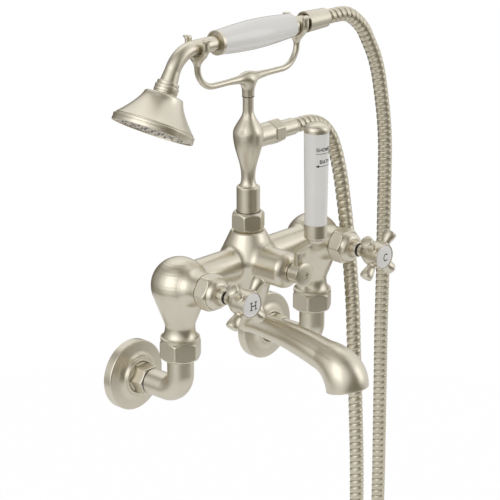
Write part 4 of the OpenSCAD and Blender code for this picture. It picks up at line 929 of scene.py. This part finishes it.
def lettered(name, strokes, pen, place):
    """Strokes as thin closed slabs that follow a surface; place turns (x, y, lift) into a point."""
    verts, faces = [], []
    for stroke in strokes:
        pts = np.array(stroke, float)
        fine, _ = evenly(np.column_stack([pts, np.zeros(len(pts))]), 0.45)
        legs = np.linalg.norm(np.diff(pts, axis=0), axis=1)
        shares = np.concatenate([[0], np.cumsum(legs)]) / legs.sum()
        order = np.argsort(np.concatenate([np.linspace(0, 1, len(fine)), shares]), kind="stable")
        line = np.concatenate([fine[:, :2], pts])[order]
        line = line[np.concatenate([[True], np.linalg.norm(np.diff(line, axis=0), axis=1) > 0.02])]
        run = np.gradient(line, axis=0)
        run /= np.linalg.norm(run, axis=1)[:, None]
        line[0] -= run[0] * pen * 0.35
        line[-1] += run[-1] * pen * 0.35
        off = np.stack([-run[:, 1], run[:, 0]], 1) * pen / 2
        start = len(verts)
        for p, o in zip(line, off):
            for q, lift in ((p + o, RAISED), (p - o, RAISED), (p - o, -SUNK), (p + o, -SUNK)):
                verts.append(place(q[0], q[1], lift))
        faces += grid_faces(len(line), 4, start)
        faces += [tuple(range(start, start + 4)), tuple(range(len(verts) - 4, len(verts)))]
    return add_mesh(name, verts, faces, True)


INDEX_D, INDEX_CROWN, INDEX_R = 155.7, 1.1, 11.0
LETTER_W, LETTER_H, LETTER_X, LETTER_Z, SERIF = 5.6, 6.6, 1.2, -0.7, 1.1
for side, s in SIDES.items():
    def on_index(x, z, lift, s=s):
        d = INDEX_D + INDEX_CROWN * math.sqrt(max(0.0, 1 - (x * x + z * z) / INDEX_R ** 2)) + lift
        return (s * PITCH / 2 + x, -d, VALVE_Z + z)
    letter = side[0].upper()
    strokes = word_strokes(letter, LETTER_W, LETTER_H, 0, (LETTER_X, LETTER_Z))
    if letter == "H":
        for x in (LETTER_X - LETTER_W / 2, LETTER_X + LETTER_W / 2):
            for z in (LETTER_Z - LETTER_H / 2, LETTER_Z + LETTER_H / 2):
                strokes.append([(x - SERIF, z), (x + SERIF, z)])
    dress(lettered(side + "_letter", strokes, 1.0, on_index), LETTERING, side + "_tap")

GRIP_Z, GRIP_H, GRIP_LOW_R, GRIP_TAPER, GRIP_WRAP_R = 158.4, 85.0, 10.0, 1.3, 11.0
WORD_SIZE = (2.05, 2.8, 0.95)
# Height of each arrow and the way it points; all lie a little left of the grip's front
ARROWS, ARROW_X = ((225.8, 1), (214.4, -1)), -0.8


def on_grip(x, z, lift):
    r = GRIP_LOW_R + GRIP_TAPER * (z - GRIP_Z) / GRIP_H + lift
    return (r * math.sin(x / GRIP_WRAP_R), -GRIP_D - r * math.cos(x / GRIP_WRAP_R), z)


legend = word_strokes("SHOWER", *WORD_SIZE, (-0.9, 229.4)) + word_strokes("BATH", *WORD_SIZE, (-0.4, 218.4))
shafts = [[(-8.8 * way + ARROW_X, z), (6.6 * way + ARROW_X, z)] for z, way in ARROWS]
heads = [[((6.2 + 0.4 * i) * way + ARROW_X, z - 1.0 + 0.14 * i),
          ((6.2 + 0.4 * i) * way + ARROW_X, z + 1.0 - 0.14 * i)]
         for z, way in ARROWS for i in range(7)]
for name, strokes, pen in (("grip_words", legend, 0.55), ("grip_arrows", shafts, 0.4),
                           ("grip_arrow_heads", heads, 0.46)):
    dress(lettered(name, strokes, pen, on_grip), LETTERING, "diverter")


# Studio: pale floor, soft lamps, white surround

def add_lamp(name, at, target, size, watts):
    data = bpy.data.lights.new(name, "AREA")
    data.shape = "RECTANGLE"
    data.size, data.size_y = size
    data.energy = watts
    lamp = bpy.data.objects.new(name, data)
    lamp.location = at
    lamp.rotation_mode = "QUATERNION"
    lamp.rotation_quaternion = (Vector(target) - Vector(at)).to_track_quat("-Z", "Y")
    bpy.context.scene.collection.objects.link(lamp)


def math_node(tree, operation, a, b):
    node = tree.nodes.new("ShaderNodeMath")
    node.operation = operation
    for value, socket in zip((a, b), node.inputs):
        if isinstance(value, (int, float)):
            socket.default_value = value
        else:
            tree.links.new(value, socket)
    return node.outputs[0]


def seen_share(tree, camera_share, mirror_share):
    """Share of white for camera rays, and for glossy and transmission rays."""
    path = tree.nodes.new("ShaderNodeLightPath")
    mirror = math_node(tree, "MAXIMUM", path.outputs["Is Glossy Ray"], path.outputs["Is Transmission Ray"])
    mirror = math_node(tree, "MULTIPLY", mirror, mirror_share)
    seen = math_node(tree, "MULTIPLY", path.outputs["Is Camera Ray"], camera_share)
    return math_node(tree, "MAXIMUM", seen, mirror)


# The surround is white to the camera. In reflections it is a warm dark studio with soft panels in it. Each
# panel has its direction, the cosines at which it starts and is full, and its share of white.
PANELS = [((-0.94, -0.05, 0.33), 0.5, 0.96, 1.0), ((0.66, -0.50, 0.56), 0.72, 0.97, 0.95),
          ((0.97, -0.10, 0.15), 0.5, 0.97, 0.8), ((0.45, 0.50, 0.70), 0.75, 0.93, 1.0),
          ((-0.56, 0.78, 0.26), 0.66, 0.98, 0.35), ((-0.55, -0.66, 0.52), 0.80, 0.99, 0.40)]
STUDIO_GREY, STUDIO_TONE, WHITE = 0.03, (0.16, 0.142, 0.1, 1), (1, 1, 1, 1)
FILL_STRENGTH = 0.9
world = bpy.data.worlds.new("studio")
bpy.context.scene.world = world
world.use_nodes = True
wt = world.node_tree
wt.nodes.clear()
w_out = wt.nodes.new("ShaderNodeOutputWorld")
w_fill = wt.nodes.new("ShaderNodeBackground")
w_fill.inputs["Strength"].default_value = FILL_STRENGTH
w_seen = wt.nodes.new("ShaderNodeBackground")
w_coord = wt.nodes.new("ShaderNodeTexCoord")
w_path = wt.nodes.new("ShaderNodeLightPath")
glow = math_node(wt, "ADD", w_path.outputs["Is Camera Ray"], STUDIO_GREY)
for towards, low, high, gain in PANELS:
    w_dot = wt.nodes.new("ShaderNodeVectorMath")
    w_dot.operation = "DOT_PRODUCT"
    w_dot.inputs[1].default_value = unit(np.array(towards))
    wt.links.new(w_coord.outputs["Generated"], w_dot.inputs[0])
    w_panel = wt.nodes.new("ShaderNodeMapRange")
    w_panel.interpolation_type = "SMOOTHSTEP"
    w_panel.inputs["From Min"].default_value = low
    w_panel.inputs["From Max"].default_value = high
    w_panel.inputs["To Max"].default_value = gain
    wt.links.new(w_dot.outputs["Value"], w_panel.inputs["Value"])
    glow = math_node(wt, "ADD", glow, w_panel.outputs["Result"])
w_front = wt.nodes.new("ShaderNodeMix")
w_front.data_type = "RGBA"
w_front.inputs["A"].default_value = STUDIO_TONE
w_front.inputs["B"].default_value = WHITE
wt.links.new(math_node(wt, "MINIMUM", glow, 1.0), w_front.inputs["Factor"])
wt.links.new(w_front.outputs["Result"], w_seen.inputs["Color"])
w_mix = wt.nodes.new("ShaderNodeMixShader")
wt.links.new(seen_share(wt, 1.0, 1.0), w_mix.inputs["Fac"])
wt.links.new(w_fill.outputs[0], w_mix.inputs[1])
wt.links.new(w_seen.outputs[0], w_mix.inputs[2])
wt.links.new(w_mix.outputs[0], w_out.inputs["Surface"])

FLOOR_R, FLOOR_SIDES, FLOOR_GAP = 1000.0, 128, 0.004
FLOOR_SEEN, FLOOR_MIRRORED = 0.975, 0.14
floor_z = (CAD_BOX[0][2] - FLOOR_GAP) / MM
floor_rim = [2 * math.pi * k / FLOOR_SIDES for k in range(FLOOR_SIDES)]
floor = add_mesh("floor", [(FLOOR_R * math.cos(a), FLOOR_R * math.sin(a), floor_z) for a in floor_rim],
                 [tuple(range(FLOOR_SIDES))], True)
floor_mat, ft, f_bsdf = new_material("pale_floor")
f_bsdf.inputs["Base Color"].default_value = (0.92, 0.92, 0.92, 1)
f_bsdf.inputs["Roughness"].default_value = 0.9
f_bsdf.inputs["Specular IOR Level"].default_value = 0.0
f_out = next(n for n in ft.nodes if n.type == "OUTPUT_MATERIAL")
f_white = ft.nodes.new("ShaderNodeEmission")
f_mix = ft.nodes.new("ShaderNodeMixShader")
ft.links.new(seen_share(ft, FLOOR_SEEN, FLOOR_MIRRORED), f_mix.inputs["Fac"])
ft.links.new(f_bsdf.outputs["BSDF"], f_mix.inputs[1])
ft.links.new(f_white.outputs["Emission"], f_mix.inputs[2])
ft.links.new(f_mix.outputs[0], f_out.inputs["Surface"])
floor.data.materials.append(floor_mat)

# Name, place, aim, size and watts
for lamp in (("key", (-2.6, -0.2, 1.2), (0, -0.07, 0.1), (2.2, 2.2), 12.5),
             ("right", (1.6, -2.4, 0.9), (0.05, -0.07, 0.1), (1.6, 2.2), 8),
             ("top", (0.2, 0.4, 2.8), (0, -0.07, 0.1), (3.2, 3.2), 8)):
    add_lamp(*lamp)

bpy.context.scene.view_settings.view_transform = "Standard"
